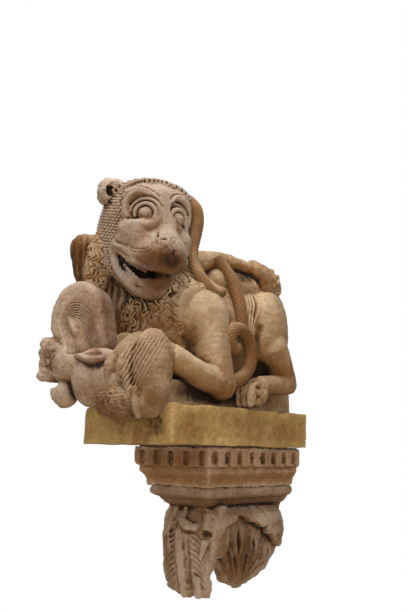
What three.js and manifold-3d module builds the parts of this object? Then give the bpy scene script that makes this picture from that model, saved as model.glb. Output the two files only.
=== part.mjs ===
// Console lion: a carved lion group on a slab, a moulded impost and a leaf capital, built against a wall.
// Millimetres, +Z up. The wall is the plane y = 0 and the lion looks out of it towards -Y, with its head
// turned to +X. The origin is the centre of the impost block's back face.

import * as THREE from 'three';
import { RoundedBoxGeometry } from 'three/addons/geometries/RoundedBoxGeometry.js';
import { mergeVertices } from 'three/addons/utils/BufferGeometryUtils.js';
import Module from 'manifold-3d';

const wasm = await Module();
wasm.setup();

// Slab
const SLAB_LENGTH = 740; // from the wall to the front edge
const SLAB_WIDTH = 444;
const SLAB_THICKNESS = 130;

// Impost block: half-widths of its steps, and how deep the block is when its half-width is nothing
const IMPOST_HEIGHT = 132;
const BAND_HEIGHT = 66;
const BAND_HALF_WIDTH = 190;
const FILLET_HEIGHT = 24;
const FILLET_STEP = 12;
const CAVETTO_HEIGHT = 22;
const CAVETTO_STEP = 20;
const BLOCK_DEPTH = 339; // depth from the wall beyond the half-width, the same at every level

// Niches in the impost band
const NICHE_WIDTH = 24;
const NICHE_HEIGHT = 44;
const NICHE_DEPTH = 12;
const NICHE_SILL = 14; // from the foot of the band to the foot of a niche
const SIDE_NICHES = 8;
const FRONT_NICHES = 5;

// Leaf capital
const ROLL_HEIGHT = 30;
const ROLL_HALF_WIDTH = 142;
const ROLL_BULGE = 12;
const NECK_HEIGHT = 36;
const NECK_STEP = 20; // from the roll in to the fillet under it
const BELL_HEIGHT = 168;
const BELL_HALF_WIDTH = 96;
const BELL_TAPER = 28; // how much narrower the bell is at its foot
const FRONT_LEAF_WIDTH = 266;
const FRONT_LEAF_SHIFT = 17; // to the lion's left of the bell's middle
const FRONT_LEAF_DROP = 302; // from the neck down to the foot
const FRONT_LEAF_RELIEF = 44; // how far the leaf swells out from the bell
const SIDE_LEAF_WIDTH = 400;
const SIDE_LEAF_BACK = 40; // from the wall to the leaf
const SIDE_LEAF_DROP = 288;
const SIDE_LEAF_RELIEF = 36;
const HOOD_DROP = 164; // the turned-over upper leaf, at its lowest lobe
const HOOD_RELIEF = 38; // from the leaf under it out to the hood
const LEAF_THICKNESS = 34; // where a leaf hangs free below the bell
const LEAF_CURVE = 24; // how far a leaf's edges lie behind its middle
const STEM_RADIUS = 17;

// Mortar, dowels and ties
const BED = 6; // thickness of a mortar bed
const BED_SETBACK = 12; // the bed stays this far inside the stones' edges
const FACE_GAP = 0.3; // clearance between faces that meet
const DOWEL_DIAMETER = 20;
const DOWEL_LENGTH = 110;
const LEAD_WALL = 6; // lead run round a dowel
const DOWEL_SPREAD = 220; // between the two dowels under the lion, and under the slab
const CAPITAL_DOWEL_SPREAD = 120; // between the two dowels of the capital, which stand across
const TIE_WIDTH = 28;
const TIE_THICKNESS = 10;
const TIE_EMBED = 90; // let into the slab
const TIE_REACH = 110; // out of the back, into the wall
const TIE_TAIL = 26; // spread of the split tail, each side
const TIE_SPREAD = 200; // between the two ties
const TIE_LEAD = 8; // lead round a tie

// Lion: the sizes of its main masses, and their places back from the slab's front edge and up from the seat
const BASE_HEIGHT = 62; // rough block under the belly
const BASE_WIDTH = 300;
const BASE_SETBACK = 40; // from the slab's front edge to the block
const BODY_HALF_WIDTH = 164;
const BODY_HALF_LENGTH = 365;
const BODY_HALF_HEIGHT = 238;
const BODY_HEIGHT = 286; // from the seat to the middle of the trunk
const SHOULDER_SPREAD = 124; // from the middle to a shoulder
const SHOULDER_BACK = 250;
const SHOULDER_HEIGHT = 320;
const THIGH_SPREAD = 146;
const THIGH_OUT = 148; // from the wall
const THIGH_HEIGHT = 325;
const HOCK_SPREAD = 190;
const HOCK_HEIGHT = 108;
const HIND_PAW_OUT = 305;
const TOE_RADIUS = 14;
const HEAD_SHIFT = -12; // from the middle of the slab
const HEAD_BACK = 78;
const HEAD_HEIGHT = 621;
const HEAD_TURN = -20; // degrees, the direction of the face measured from +X
const HEAD_BOW = -10; // degrees, the face looks down a little
const FACE_MIDDLE = 6;
const SKULL_DEPTH = 158;
const SKULL_HALF_WIDTH = 154;
const SKULL_HALF_HEIGHT = 198;
const MUZZLE_FRONT = 203; // forward from the middle of the head
const MUZZLE_LEVEL = -96; // up from it
const MUZZLE_LENGTH = 93;
const MUZZLE_HALF_WIDTH = 88;
const MUZZLE_HALF_HEIGHT = 84;
const MOUTH_DEPTH = 253; // from the muzzle's front back to the throat
const JAW_RADIUS = 17;
const EYE_RADIUS = 30;
const EYE_SPREAD = 116;
const EYE_LEVEL = 54;
const EYE_TURN = 32; // degrees, each eye looks outwards
const SOCKET_HALF_WIDTH = 66;
const SOCKET_HALF_HEIGHT = 66;
const SOCKET_DEPTH = 30;
const LID_RADIUS = 8;

// Ram, serpent and the beast on the back
const RAM_SHIFT = -165;
const RAM_REACH = 62; // the ram's head lies this far out from the slab's front edge
const RAM_HEIGHT = 100;
const RAM_TURN = 200; // degrees, as the lion's head
const HORN_RADIUS = 113;
const HORN_HEIGHT = 196; // from the ram's middle up to the middle of the coil
const HORN_CROWN = 139; // from there to the top of the horn
const HORN_THICKNESS = 108;
const HORN_FOOT_RADIUS = 84;
const HAUNCH_HEIGHT = 590;
const SERPENT_RADIUS = 21;
const BEAST_HEIGHT = 588;
const BEAST_LIMB_RADIUS = 46;

// Levels and edges that follow from the sizes above
const WALL = 0;
const FRONT = -SLAB_LENGTH;
const SIDE = SLAB_WIDTH / 2;
const IMPOST_TOP = IMPOST_HEIGHT / 2;
const IMPOST_FOOT = -IMPOST_HEIGHT / 2;
const SLAB_FOOT = IMPOST_TOP + BED;
const SLAB_TOP = SLAB_FOOT + SLAB_THICKNESS;
const SEAT = SLAB_TOP + BED; // underside of the lion group
const CAPITAL_TOP = IMPOST_FOOT - BED;
const NECK_TOP = CAPITAL_TOP - ROLL_HEIGHT;
const BELL_TOP = NECK_TOP - NECK_HEIGHT;
const BELL_FOOT = BELL_TOP - BELL_HEIGHT;
const IMPOST_FOOT_HALF_WIDTH = BAND_HALF_WIDTH - FILLET_STEP - CAVETTO_STEP;
const BELL_FRONT = -(BLOCK_DEPTH + BELL_HALF_WIDTH);
const LEAD_RADIUS = DOWEL_DIAMETER / 2 + LEAD_WALL;
const LION_BED_HALF_WIDTH = BASE_WIDTH / 2 - BED_SETBACK;
const BASE_FRONT = FRONT + BASE_SETBACK;
const LION_BED_FRONT = BASE_FRONT + BED_SETBACK;
const FAR = 4000; // larger than the object, for cutting blocks

// Finishes
const CARVED_STONE = { color: 0x9c7450, roughness: 0.88, metalness: 0 };
const SLAB_STONE = { color: 0xa98749, roughness: 0.9, metalness: 0 };
const BROWN_STONE = { color: 0x86664c, roughness: 0.9, metalness: 0 };
const MORTAR = { color: 0x8d8172, roughness: 0.95, metalness: 0 };
const IRON = { color: 0x4a4541, roughness: 0.6, metalness: 0.9 };
const LEAD = { color: 0x74777b, roughness: 0.5, metalness: 0.8 };

const assembly = new THREE.Group();

function addPiece(name, geometry, finish) {
  const mesh = new THREE.Mesh(geometry, new THREE.MeshStandardMaterial(finish));
  mesh.name = name;
  assembly.add(mesh);
}

// Turns a closed three.js geometry into a solid that can be joined and cut.
function solid(geometry) {
  const bare = geometry.clone();
  bare.deleteAttribute('normal');
  bare.deleteAttribute('uv');
  const merged = mergeVertices(bare, 1e-4);
  const corners = merged.index.array;
  const triVerts = [];
  for (let i = 0; i < corners.length; i += 3) {
    const [a, b, c] = [corners[i], corners[i + 1], corners[i + 2]];
    if (a !== b && b !== c && c !== a) triVerts.push(a, b, c);
  }
  const vertProperties = new Float32Array(merged.attributes.position.array);
  return new wasm.Manifold(
    new wasm.Mesh({ numProp: 3, vertProperties, triVerts: new Uint32Array(triVerts) }),
  );
}

function geometryOf(body) {
  const mesh = body.getMesh();
  const geometry = new THREE.BufferGeometry();
  geometry.setAttribute('position', new THREE.BufferAttribute(new Float32Array(mesh.vertProperties), 3));
  geometry.setIndex(new THREE.BufferAttribute(new Uint32Array(mesh.triVerts), 1));
  geometry.computeVertexNormals();
  return geometry;
}

function joined(bodies) {
  return bodies.reduce((whole, body) => whole.add(body));
}

function cut(body, tools) {
  return tools.reduce((rest, tool) => rest.subtract(tool), body);
}

// Simple bodies

function block(x0, x1, y0, y1, z0, z1) {
  const geometry = new THREE.BoxGeometry(x1 - x0, y1 - y0, z1 - z0);
  geometry.translate((x0 + x1) / 2, (y0 + y1) / 2, (z0 + z1) / 2);
  return solid(geometry);
}

function rod(x, y, z0, z1, radius, sides = 12) {
  const geometry = new THREE.CylinderGeometry(radius, radius, z1 - z0, sides);
  geometry.rotateX(Math.PI / 2);
  geometry.translate(x, y, (z0 + z1) / 2);
  return solid(geometry);
}

// An ellipsoid whose own axes are given by a frame, or by the world where there is none.
function ball(centre, radii, frame = null, columns = 10, rows = 7) {
  const geometry = new THREE.SphereGeometry(1, columns, rows);
  geometry.scale(radii[0], radii[1], radii[2]);
  if (frame) geometry.applyMatrix4(frame.turn);
  geometry.translate(centre.x, centre.y, centre.z);
  return solid(geometry);
}

// A direction that no limb follows. A limb's first spoke stands square to it.
const SKEW = new THREE.Vector3(0.31, 0.17, 0.93);

// A limb through rows of [point, radius]: one round skin from end to end, with rounded ends.
function chain(rows, sides = 9) {
  const last = rows.length - 1;
  const points = rows.map(([point]) => point);
  const heading = (i) => points[Math.min(i + 1, last)].clone().sub(points[Math.max(i - 1, 0)]).normalize();
  const section = (centre, along, radius) => ({ centre, along, radius });
  const beyond = (i, share, radiusShare) => {
    const along = heading(i);
    const reach = (i ? 1 : -1) * share * rows[i][1];
    return section(points[i].clone().addScaledVector(along, reach), along, radiusShare * rows[i][1]);
  };
  const sections = [
    beyond(0, 0.7, 0.7),
    ...rows.map(([point, radius], i) => section(point, heading(i), radius)),
    beyond(last, 0.7, 0.7),
  ];
  const tips = [beyond(0, 1, 0).centre, beyond(last, 1, 0).centre];
  const across = SKEW.clone().cross(sections[0].along).normalize();
  const places = [];
  sections.forEach(({ centre, along, radius }) => {
    across.addScaledVector(along, -across.dot(along)).normalize();
    const second = along.clone().cross(across);
    for (let k = 0; k < sides; k += 1) {
      const angle = (k / sides) * 2 * Math.PI;
      const spoke = across.clone().multiplyScalar(Math.cos(angle)).addScaledVector(second, Math.sin(angle));
      places.push(centre.clone().addScaledVector(spoke, radius));
    }
  });
  places.push(...tips);
  const [firstTip, lastTip] = [places.length - 2, places.length - 1];
  const rim = firstTip - sides;
  const corners = [];
  for (let k = 0; k < sides; k += 1) {
    const next = (k + 1) % sides;
    for (let ring = 0; ring < rim; ring += sides) {
      corners.push(ring + k, ring + next, ring + sides + next);
      corners.push(ring + k, ring + sides + next, ring + sides + k);
    }
    corners.push(firstTip, next, k, lastTip, rim + k, rim + next);
  }
  const geometry = new THREE.BufferGeometry().setFromPoints(places);
  geometry.setIndex(corners);
  return solid(geometry);
}

// A round tube of one radius along a smooth curve.
function tube(points, radius, steps) {
  const section = new THREE.Shape();
  section.absarc(0, 0, radius, 0, Math.PI * 2);
  const path = new THREE.CatmullRomCurve3(points);
  return solid(new THREE.ExtrudeGeometry(section, {
    steps,
    extrudePath: path,
    bevelEnabled: false,
    curveSegments: 3,
  }));
}

// An outline drawn in the X-Z plane and carried from y = -depth to y = 0.
function upright(shape, depth) {
  const geometry = new THREE.ExtrudeGeometry(shape, { depth, bevelEnabled: false, curveSegments: 6 });
  geometry.rotateX(Math.PI / 2);
  return geometry;
}

// Masonry

// A block with the same moulding on its front and both sides and a flat back on the wall. The profile
// lists [half-width, level] from the foot up.
function mouldedBlock(profile) {
  const across = new THREE.Shape();
  profile.forEach(([half, level], i) => (i ? across.lineTo(half, level) : across.moveTo(half, level)));
  [...profile].reverse().forEach(([half, level]) => across.lineTo(-half, level));
  const sideRun = upright(across, FAR);
  const deep = new THREE.Shape();
  profile.forEach(([half, level], i) => {
    const reach = BLOCK_DEPTH + half;
    if (i) deep.lineTo(reach, level);
    else deep.moveTo(reach, level);
  });
  deep.lineTo(WALL, profile[profile.length - 1][1]);
  deep.lineTo(WALL, profile[0][1]);
  const frontRun = upright(deep, FAR);
  frontRun.translate(0, FAR / 2, 0);
  frontRun.rotateZ(-Math.PI / 2);
  return solid(sideRun).intersect(solid(frontRun));
}

// Half-widths along a quarter-round hollow or a roll, from the foot up.
function hollow(footHalf, step, foot, height, steps = 5) {
  return Array.from({ length: steps + 1 }, (_, i) => {
    const angle = (i / steps) * (Math.PI / 2);
    return [footHalf + step * (1 - Math.cos(angle)), foot + height * Math.sin(angle)];
  });
}

function roll(half, bulge, foot, height, steps = 8) {
  return Array.from({ length: steps + 1 }, (_, i) => {
    const angle = (i / steps) * Math.PI;
    return [half + bulge * Math.sin(angle), foot + (height * (1 - Math.cos(angle))) / 2];
  });
}

// The three dowelled joints: the level of each bed and where its two dowels stand.
const BLOCK_MIDDLE = -(BLOCK_DEPTH + IMPOST_FOOT_HALF_WIDTH) / 2;
const LION_JOINT = {
  level: SLAB_TOP + BED / 2,
  dowels: { front: [0, FRONT / 2 - DOWEL_SPREAD / 2], rear: [0, FRONT / 2 + DOWEL_SPREAD / 2] },
};
const SLAB_JOINT = {
  level: IMPOST_TOP + BED / 2,
  dowels: { front: [0, BLOCK_MIDDLE - DOWEL_SPREAD / 2], rear: [0, BLOCK_MIDDLE + DOWEL_SPREAD / 2] },
};
const CAPITAL_JOINT = {
  level: IMPOST_FOOT - BED / 2,
  dowels: {
    right: [-CAPITAL_DOWEL_SPREAD / 2, BLOCK_MIDDLE],
    left: [CAPITAL_DOWEL_SPREAD / 2, BLOCK_MIDDLE],
  },
};

// The sockets that a joint's dowels need, a little wider than their lead.
function sockets(joint) {
  const reach = DOWEL_LENGTH / 2 + FACE_GAP;
  const radius = LEAD_RADIUS + FACE_GAP;
  const socket = ([x, y]) => rod(x, y, joint.level - reach, joint.level + reach, radius);
  return Object.values(joint.dowels).map(socket);
}

// A flat bar let into the slab, with a split tail that spreads in the wall.
function wallTie() {
  const half = TIE_WIDTH / 2;
  const split = TIE_REACH * 0.55;
  const shape = new THREE.Shape();
  shape.moveTo(-half, -TIE_EMBED);
  shape.lineTo(half, -TIE_EMBED);
  shape.lineTo(half, split);
  shape.lineTo(half + TIE_TAIL, TIE_REACH);
  shape.lineTo(TIE_TAIL, TIE_REACH);
  shape.lineTo(0, split);
  shape.lineTo(-TIE_TAIL, TIE_REACH);
  shape.lineTo(-half - TIE_TAIL, TIE_REACH);
  shape.lineTo(-half, split);
  const geometry = new THREE.ExtrudeGeometry(shape, { depth: TIE_THICKNESS, bevelEnabled: false });
  geometry.translate(0, 0, -TIE_THICKNESS / 2);
  return geometry;
}

const TIE_PLACES = [-TIE_SPREAD / 2, TIE_SPREAD / 2];
const TIE_LEVEL = SLAB_FOOT + SLAB_THICKNESS / 2;

function tieSocket(x, grow) {
  const half = TIE_WIDTH / 2 + TIE_LEAD + grow;
  const high = TIE_THICKNESS / 2 + TIE_LEAD + grow;
  const deep = TIE_EMBED + TIE_LEAD + grow;
  return block(x - half, x + half, -deep, WALL + grow, TIE_LEVEL - high, TIE_LEVEL + high);
}

function tieLead(x) {
  const half = TIE_WIDTH / 2 + FACE_GAP;
  const high = TIE_THICKNESS / 2 + FACE_GAP;
  const deep = TIE_EMBED + FACE_GAP;
  const bore = block(x - half, x + half, -deep, WALL + deep, TIE_LEVEL - high, TIE_LEVEL + high);
  return tieSocket(x, 0).subtract(bore);
}

function plinthSlab() {
  return cut(block(-SIDE, SIDE, FRONT, WALL, SLAB_FOOT, SLAB_TOP), [
    ...sockets(LION_JOINT),
    ...sockets(SLAB_JOINT),
    ...TIE_PLACES.map((x) => tieSocket(x, FACE_GAP)),
  ]);
}

function nicheShape() {
  const half = NICHE_WIDTH / 2;
  const shape = new THREE.Shape();
  shape.moveTo(-half, 0);
  shape.lineTo(half, 0);
  shape.lineTo(half, NICHE_HEIGHT - half);
  shape.absarc(0, NICHE_HEIGHT - half, half, 0, Math.PI);
  return shape;
}

// A row of niches, spread evenly from one end of a face to the other.
function nicheRow(count, from, to, place) {
  const pitch = (to - from) / count;
  return Array.from({ length: count }, (_, i) => {
    const geometry = new THREE.ExtrudeGeometry(nicheShape(), {
      depth: NICHE_DEPTH * 2,
      bevelEnabled: false,
      curveSegments: 4,
    });
    geometry.rotateX(Math.PI / 2);
    geometry.translate(0, NICHE_DEPTH, IMPOST_TOP - BAND_HEIGHT + NICHE_SILL);
    place(geometry, from + pitch * (i + 0.5));
    return solid(geometry);
  });
}

function impostBlock() {
  const cavettoFoot = IMPOST_TOP - BAND_HEIGHT - FILLET_HEIGHT - CAVETTO_HEIGHT;
  const fillet = BAND_HALF_WIDTH - FILLET_STEP;
  const body = mouldedBlock([
    [IMPOST_FOOT_HALF_WIDTH, IMPOST_FOOT],
    ...hollow(IMPOST_FOOT_HALF_WIDTH, CAVETTO_STEP, cavettoFoot, CAVETTO_HEIGHT),
    [fillet, IMPOST_TOP - BAND_HEIGHT],
    [BAND_HALF_WIDTH, IMPOST_TOP - BAND_HEIGHT],
    [BAND_HALF_WIDTH, IMPOST_TOP],
  ]);
  const front = -(BLOCK_DEPTH + BAND_HALF_WIDTH);
  const onSide = (side) => (geometry, y) => {
    geometry.rotateZ((side * Math.PI) / 2);
    geometry.translate(side * BAND_HALF_WIDTH, y, 0);
  };
  const onFront = (geometry, x) => geometry.translate(x, front, 0);
  return cut(body, [
    ...nicheRow(SIDE_NICHES, front, WALL, onSide(1)),
    ...nicheRow(SIDE_NICHES, front, WALL, onSide(-1)),
    ...nicheRow(FRONT_NICHES, -BAND_HALF_WIDTH, BAND_HALF_WIDTH, onFront),
    ...sockets(SLAB_JOINT),
    ...sockets(CAPITAL_JOINT),
  ]);
}

// Leaves of the capital

// A leaf is drawn flat, as [across, drop] shares of its width and of its drop, from one shoulder round to the
// other. A side leaf's across starts at the wall, and the front leaf's at the lion's right.
const SIDE_LEAF_OUTLINE = [
  [0.04, 0], [0.01, 0.22], [0, 0.55], [0.03, 0.63], [0.19, 0.81], [0.37, 0.9], [0.59, 1], [0.79, 0.89],
  [0.92, 0.65], [1, 0.4], [1, 0],
];
const HOOD_OUTLINE = [
  [0.04, 0], [0.01, 0.4], [0, 1], [0.06, 0.97], [0.22, 0.7], [0.33, 0.48], [0.42, 0.45], [0.56, 0.32],
  [0.68, 0.17], [0.8, 0.3], [0.9, 0.42], [0.97, 0.64], [1, 0.76], [1, 0],
];
const FRONT_LEAF_OUTLINE = [
  [0.14, 0], [0.1, 0.12], [0.02, 0.4], [0, 0.62], [0.06, 0.86], [0.2, 0.95], [0.41, 1], [0.56, 0.99],
  [0.64, 0.92], [0.71, 0.98], [0.8, 0.98], [0.84, 0.9], [0.85, 0.77], [0.93, 0.6], [1, 0.3], [0.96, 0],
];

// How far a leaf stands out at each level, as [drop, share of its relief], from its top to its foot.
const LEAF_SWELL = [[0, 0], [0.09, 0.45], [0.27, 0.95], [0.55, 1], [0.88, 0.75], [1, 0.25]];
const HOOD_SWELL = [[0, 0], [0.17, 0.86], [0.38, 1], [0.62, 0.97], [1, 0.72]];

// The flat outline carried out from the bell, with x across, -y outwards and z down from the top.
function leafBlank(outline, width, drop, depth) {
  const shape = new THREE.Shape(outline.map(([a, d]) => new THREE.Vector2(a * width, -d * drop)));
  return solid(upright(shape, depth));
}

// A body bounded outwards by a swell down the leaf and a curve across it.
function swollen(width, drop, root, relief, swell) {
  const down = new THREE.Shape();
  down.moveTo(0, 0);
  swell.forEach(([d, share]) => down.lineTo(root + share * relief, -d * drop));
  down.lineTo(0, -drop);
  const downBody = upright(down, FAR);
  downBody.translate(0, FAR / 2, 0);
  downBody.rotateZ(-Math.PI / 2);
  const edge = root + relief - LEAF_CURVE;
  const crest = root + relief;
  const acrossShape = new THREE.Shape();
  acrossShape.moveTo(0, 0);
  acrossShape.lineTo(0, -edge);
  acrossShape.quadraticCurveTo(width / 2, -2 * crest + edge, width, -edge);
  acrossShape.lineTo(width, 0);
  const acrossBody = new THREE.ExtrudeGeometry(acrossShape, {
    depth: FAR,
    bevelEnabled: false,
    curveSegments: 6,
  });
  acrossBody.translate(0, 0, -FAR / 2);
  return solid(downBody).intersect(solid(acrossBody));
}

// A leaf that hangs from the bell's top. Below the bell it is a shell, open behind.
function hangingLeaf(outline, width, drop, root, relief, swell) {
  const depth = root + relief;
  const body = leafBlank(outline, width, drop, depth).intersect(swollen(width, drop, root, relief, swell));
  const behind = depth - LEAF_CURVE - LEAF_THICKNESS;
  return body.subtract(block(-width, 2 * width, -behind, FAR, -FAR, -BELL_HEIGHT));
}

function leafCapital() {
  const bellFoot = BELL_HALF_WIDTH - BELL_TAPER;
  const fillet = ROLL_HALF_WIDTH - NECK_STEP;
  const body = mouldedBlock([
    [bellFoot, BELL_FOOT],
    [BELL_HALF_WIDTH, BELL_TOP],
    [fillet, BELL_TOP + NECK_HEIGHT / 2],
    [fillet, NECK_TOP],
    ...roll(ROLL_HALF_WIDTH, ROLL_BULGE, NECK_TOP, ROLL_HEIGHT),
  ]);
  const sideSize = [SIDE_LEAF_WIDTH, SIDE_LEAF_DROP, BELL_HALF_WIDTH, SIDE_LEAF_RELIEF];
  const hoodSize = [SIDE_LEAF_WIDTH, HOOD_DROP, BELL_HALF_WIDTH, SIDE_LEAF_RELIEF + HOOD_RELIEF];
  const sideLeaf = hangingLeaf(SIDE_LEAF_OUTLINE, ...sideSize, LEAF_SWELL)
    .add(hangingLeaf(HOOD_OUTLINE, ...hoodSize, HOOD_SWELL));
  const rightLeaf = sideLeaf.rotate([0, 0, -90]).translate([0, -SIDE_LEAF_BACK, BELL_TOP]);
  const frontRoot = BELL_HALF_WIDTH;
  const frontSize = [FRONT_LEAF_WIDTH, FRONT_LEAF_DROP, frontRoot, FRONT_LEAF_RELIEF];
  const frontLeft = FRONT_LEAF_SHIFT + FRONT_LEAF_WIDTH / 2;
  const frontLeaf = hangingLeaf(FRONT_LEAF_OUTLINE, ...frontSize, LEAF_SWELL)
    .translate([frontLeft - FRONT_LEAF_WIDTH, BELL_FRONT + frontRoot, BELL_TOP]);
  const face = BELL_FRONT - FRONT_LEAF_RELIEF;
  const stems = [
    [[2, face + 26, -10], [20, face + 2, -58], [74, face - 6, -66]],
    [[20, face + 2, -142], [26, face + 4, -222], [28, face + 14, -288]],
  ].map((rows) => tubeOf((x, y, drop) => new THREE.Vector3(x, y, BELL_TOP + drop), rows, STEM_RADIUS, 6));
  const grown = joined([body, frontLeaf, rightLeaf, rightLeaf.mirror([1, 0, 0]), ...stems]);
  return cut(grown, [...sockets(CAPITAL_JOINT), block(-FAR, FAR, WALL, FAR, -FAR, FAR)]);
}

// Lion group

// Places on the group: measured from the slab's front edge or from the wall, and up from the seat.
function fromFront(x, back, height) {
  return new THREE.Vector3(x, FRONT + back, SEAT + height);
}

function fromWall(x, out, height) {
  return new THREE.Vector3(x, WALL - out, SEAT + height);
}

// A frame with its own forward, left and up directions, for a head or a paw that is turned.
function turnedFrame(origin, turn, bow) {
  const a = THREE.MathUtils.degToRad(turn);
  const b = THREE.MathUtils.degToRad(bow);
  const forward = new THREE.Vector3(Math.cos(a) * Math.cos(b), Math.sin(a) * Math.cos(b), Math.sin(b));
  const left = new THREE.Vector3(-Math.sin(a), Math.cos(a), 0);
  const up = new THREE.Vector3().crossVectors(forward, left);
  const turnMatrix = new THREE.Matrix4().makeBasis(forward, left, up);
  const point = (f, l, u) => new THREE.Vector3(f, l, u).applyMatrix4(turnMatrix).add(origin);
  return { turn: turnMatrix, point };
}

const HEAD = turnedFrame(fromFront(HEAD_SHIFT, HEAD_BACK, HEAD_HEIGHT), HEAD_TURN, HEAD_BOW);
const RAM = turnedFrame(fromFront(RAM_SHIFT, -RAM_REACH, RAM_HEIGHT), RAM_TURN, 0);
const LEFT_PAW = turnedFrame(fromFront(150, -26, 104), -43, 0);

// A frame's directions, turned about its own up.
function turnedIn(frame, degrees) {
  const about = new THREE.Matrix4().makeRotationZ(THREE.MathUtils.degToRad(degrees));
  return { turn: frame.turn.clone().multiply(about) };
}

// A geometry made with x forward, y left and z up, set into a frame.
function inFrame(frame, geometry, f = 0, l = 0, u = 0) {
  const place = frame.point(f, l, u);
  geometry.applyMatrix4(frame.turn);
  geometry.translate(place.x, place.y, place.z);
  return solid(geometry);
}

// An outline of [left, up] points carried forward through a frame.
function prism(frame, outline, from, to) {
  const shape = new THREE.Shape(outline.map(([l, u]) => new THREE.Vector2(l, u)));
  const geometry = new THREE.ExtrudeGeometry(shape, { depth: to - from, bevelEnabled: false });
  geometry.translate(0, 0, from);
  geometry.rotateY(Math.PI / 2);
  geometry.rotateX(Math.PI / 2);
  return inFrame(frame, geometry);
}

function ring(frame, centre, radius, thickness) {
  const geometry = new THREE.TorusGeometry(radius, thickness, 4, 12);
  geometry.rotateY(Math.PI / 2);
  geometry.applyMatrix4(frame.turn);
  geometry.translate(centre.x, centre.y, centre.z);
  return solid(geometry);
}

// A chain through rows of three numbers for the place and one for the radius.
function chainOf(place, rows, sides = 9) {
  return chain(rows.map(([a, b, c, radius]) => [place(a, b, c), radius]), sides);
}

function tubeOf(place, rows, radius, steps) {
  return tube(rows.map((row) => place(...row)), radius, steps);
}

const BOTH = [1, -1];

function lionBody() {
  const [width, length, height] = [BODY_HALF_WIDTH, BODY_HALF_LENGTH, BODY_HALF_HEIGHT];
  const shoulder = (side) => fromFront(side * SHOULDER_SPREAD, SHOULDER_BACK, SHOULDER_HEIGHT);
  return joined([
    block(-BASE_WIDTH / 2, BASE_WIDTH / 2, BASE_FRONT, WALL, SEAT, SEAT + BASE_HEIGHT),
    ball(fromFront(0, 440, BODY_HEIGHT), [width, length, height], null, 12, 8),
    ball(fromFront(0, 470, BODY_HEIGHT + 44), [width - 42, length - 65, height - 14], null, 12, 8),
    ball(fromWall(0, 140, BODY_HEIGHT + 24), [width + 6, 178, height - 8], null, 12, 8),
    ball(fromWall(24, 84, BODY_HEIGHT + 60), [width - 12, 140, height - 24], null, 12, 8),
    ball(fromFront(-6, 262, SHOULDER_HEIGHT - 20), [width - 4, 125, height - 52], null, 12, 8),
    ...BOTH.map((side) => ball(shoulder(side), [74, 100, 124])),
  ]);
}

function hindLeg(side) {
  const at = (spread, out, height) => fromWall(side * spread, out, height);
  const toe = (across) => chainOf(at, [
    [207 + across, HIND_PAW_OUT + 28, 80, TOE_RADIUS],
    [207 + across, HIND_PAW_OUT + 57, TOE_RADIUS, TOE_RADIUS],
  ], 6);
  return joined([
    ball(at(THIGH_SPREAD, THIGH_OUT, THIGH_HEIGHT), [68, 114, 154], null, 12, 8),
    chainOf(at, [[166, 140, THIGH_HEIGHT - 90, 62], [HOCK_SPREAD, 76, HOCK_HEIGHT + 8, 40]]),
    chainOf(at, [[HOCK_SPREAD, 76, HOCK_HEIGHT - 4, 38], [HOCK_SPREAD + 13, 262, 92, 33]], 8),
    ball(at(207, HIND_PAW_OUT, 58), [38, 60, 54], null, 10, 7),
    ...[-25, 0, 25].map(toe),
  ]);
}

function leftForeleg() {
  const toes = [
    [[118, -62, 196], [102, -76, 134], [96, -80, 76]],
    [[134, -76, 190], [112, -84, 130], [100, -84, 62]],
    [[150, -78, 180], [132, -88, 122], [104, -82, 34]],
    [[170, -74, 168], [152, -86, 104], [114, -78, 18]],
  ];
  return joined([
    chainOf(fromFront, [
      [SHOULDER_SPREAD + 4, SHOULDER_BACK, SHOULDER_HEIGHT, 78],
      [166, 250, 180, 65],
      [184, 268, 74, 53],
    ]),
    chainOf(fromFront, [[184, 270, 74, 51], [184, 170, 96, 46], [168, 40, 150, 43], [150, -5, 160, 46]]),
    ball(fromFront(150, -26, 104), [60, 68, 126], LEFT_PAW, 12, 8),
    ball(fromFront(136, -18, 180), [50, 54, 58], LEFT_PAW, 10, 7),
    ball(fromFront(178, -30, 30), [46, 48, 58], LEFT_PAW, 10, 7),
    ...toes.map((toe) => tubeOf(fromFront, toe, TOE_RADIUS, 4)),
  ]);
}

function rightForeleg() {
  const finger = (across) => tubeOf(
    fromFront,
    [[across, -58, 154], [across - 4, -84, 106], [across - 4, -82, 60]],
    TOE_RADIUS + 1,
    4,
  );
  return joined([
    chainOf(fromFront, [
      [-SHOULDER_SPREAD - 16, SHOULDER_BACK - 35, SHOULDER_HEIGHT + 10, 86],
      [-165, 150, 232, 67],
      [-90, 60, 206, 55],
      [4, -5, 190, 47],
    ]),
    chainOf(fromFront, [[40, 10, 196, 46], [18, -34, 156, 45], [14, -52, 96, 41]]),
    ...[-17, 9, 35].map(finger),
  ]);
}

// The lip seen from the front, and the jaw bone under it, round the open mouth.
const LIP_LINE = [
  [-200, -40], [-130, -78], [-94, -120], [-60, -149], [-29, -157], [30, -167], [83, -130], [111, -104],
  [200, -50],
];
const JAW_LINE = [
  [4, -136, -74], [18, -112, -140], [38, -84, -176], [62, -46, -211], [78, -8, -222], [88, 30, -212],
  [92, 52, -180], [70, 88, -130], [20, 128, -80],
];
// The nose from the brow down to its tip, with its radius.
const NOSE_LINE = [
  [68, 7, 118, 50], [86, 12, 70, 44], [112, 17, 14, 36], [138, 18, -24, 32], [154, 15, -54, 30],
];
// The side of the lower jaw, from under the cheek to the chin, with its radius.
const JAW_SIDE = [[-50, -108, -70, 46], [-30, -100, -112, 42], [-6, -76, -156, 36], [24, -44, -190, 32]];
// The lower edge of each eye, from end to end.
const EYE_LEDGES = new Map([[-1, [[-190, 0], [0, 41]]], [1, [[0, 80], [190, -29]]]]);

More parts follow.
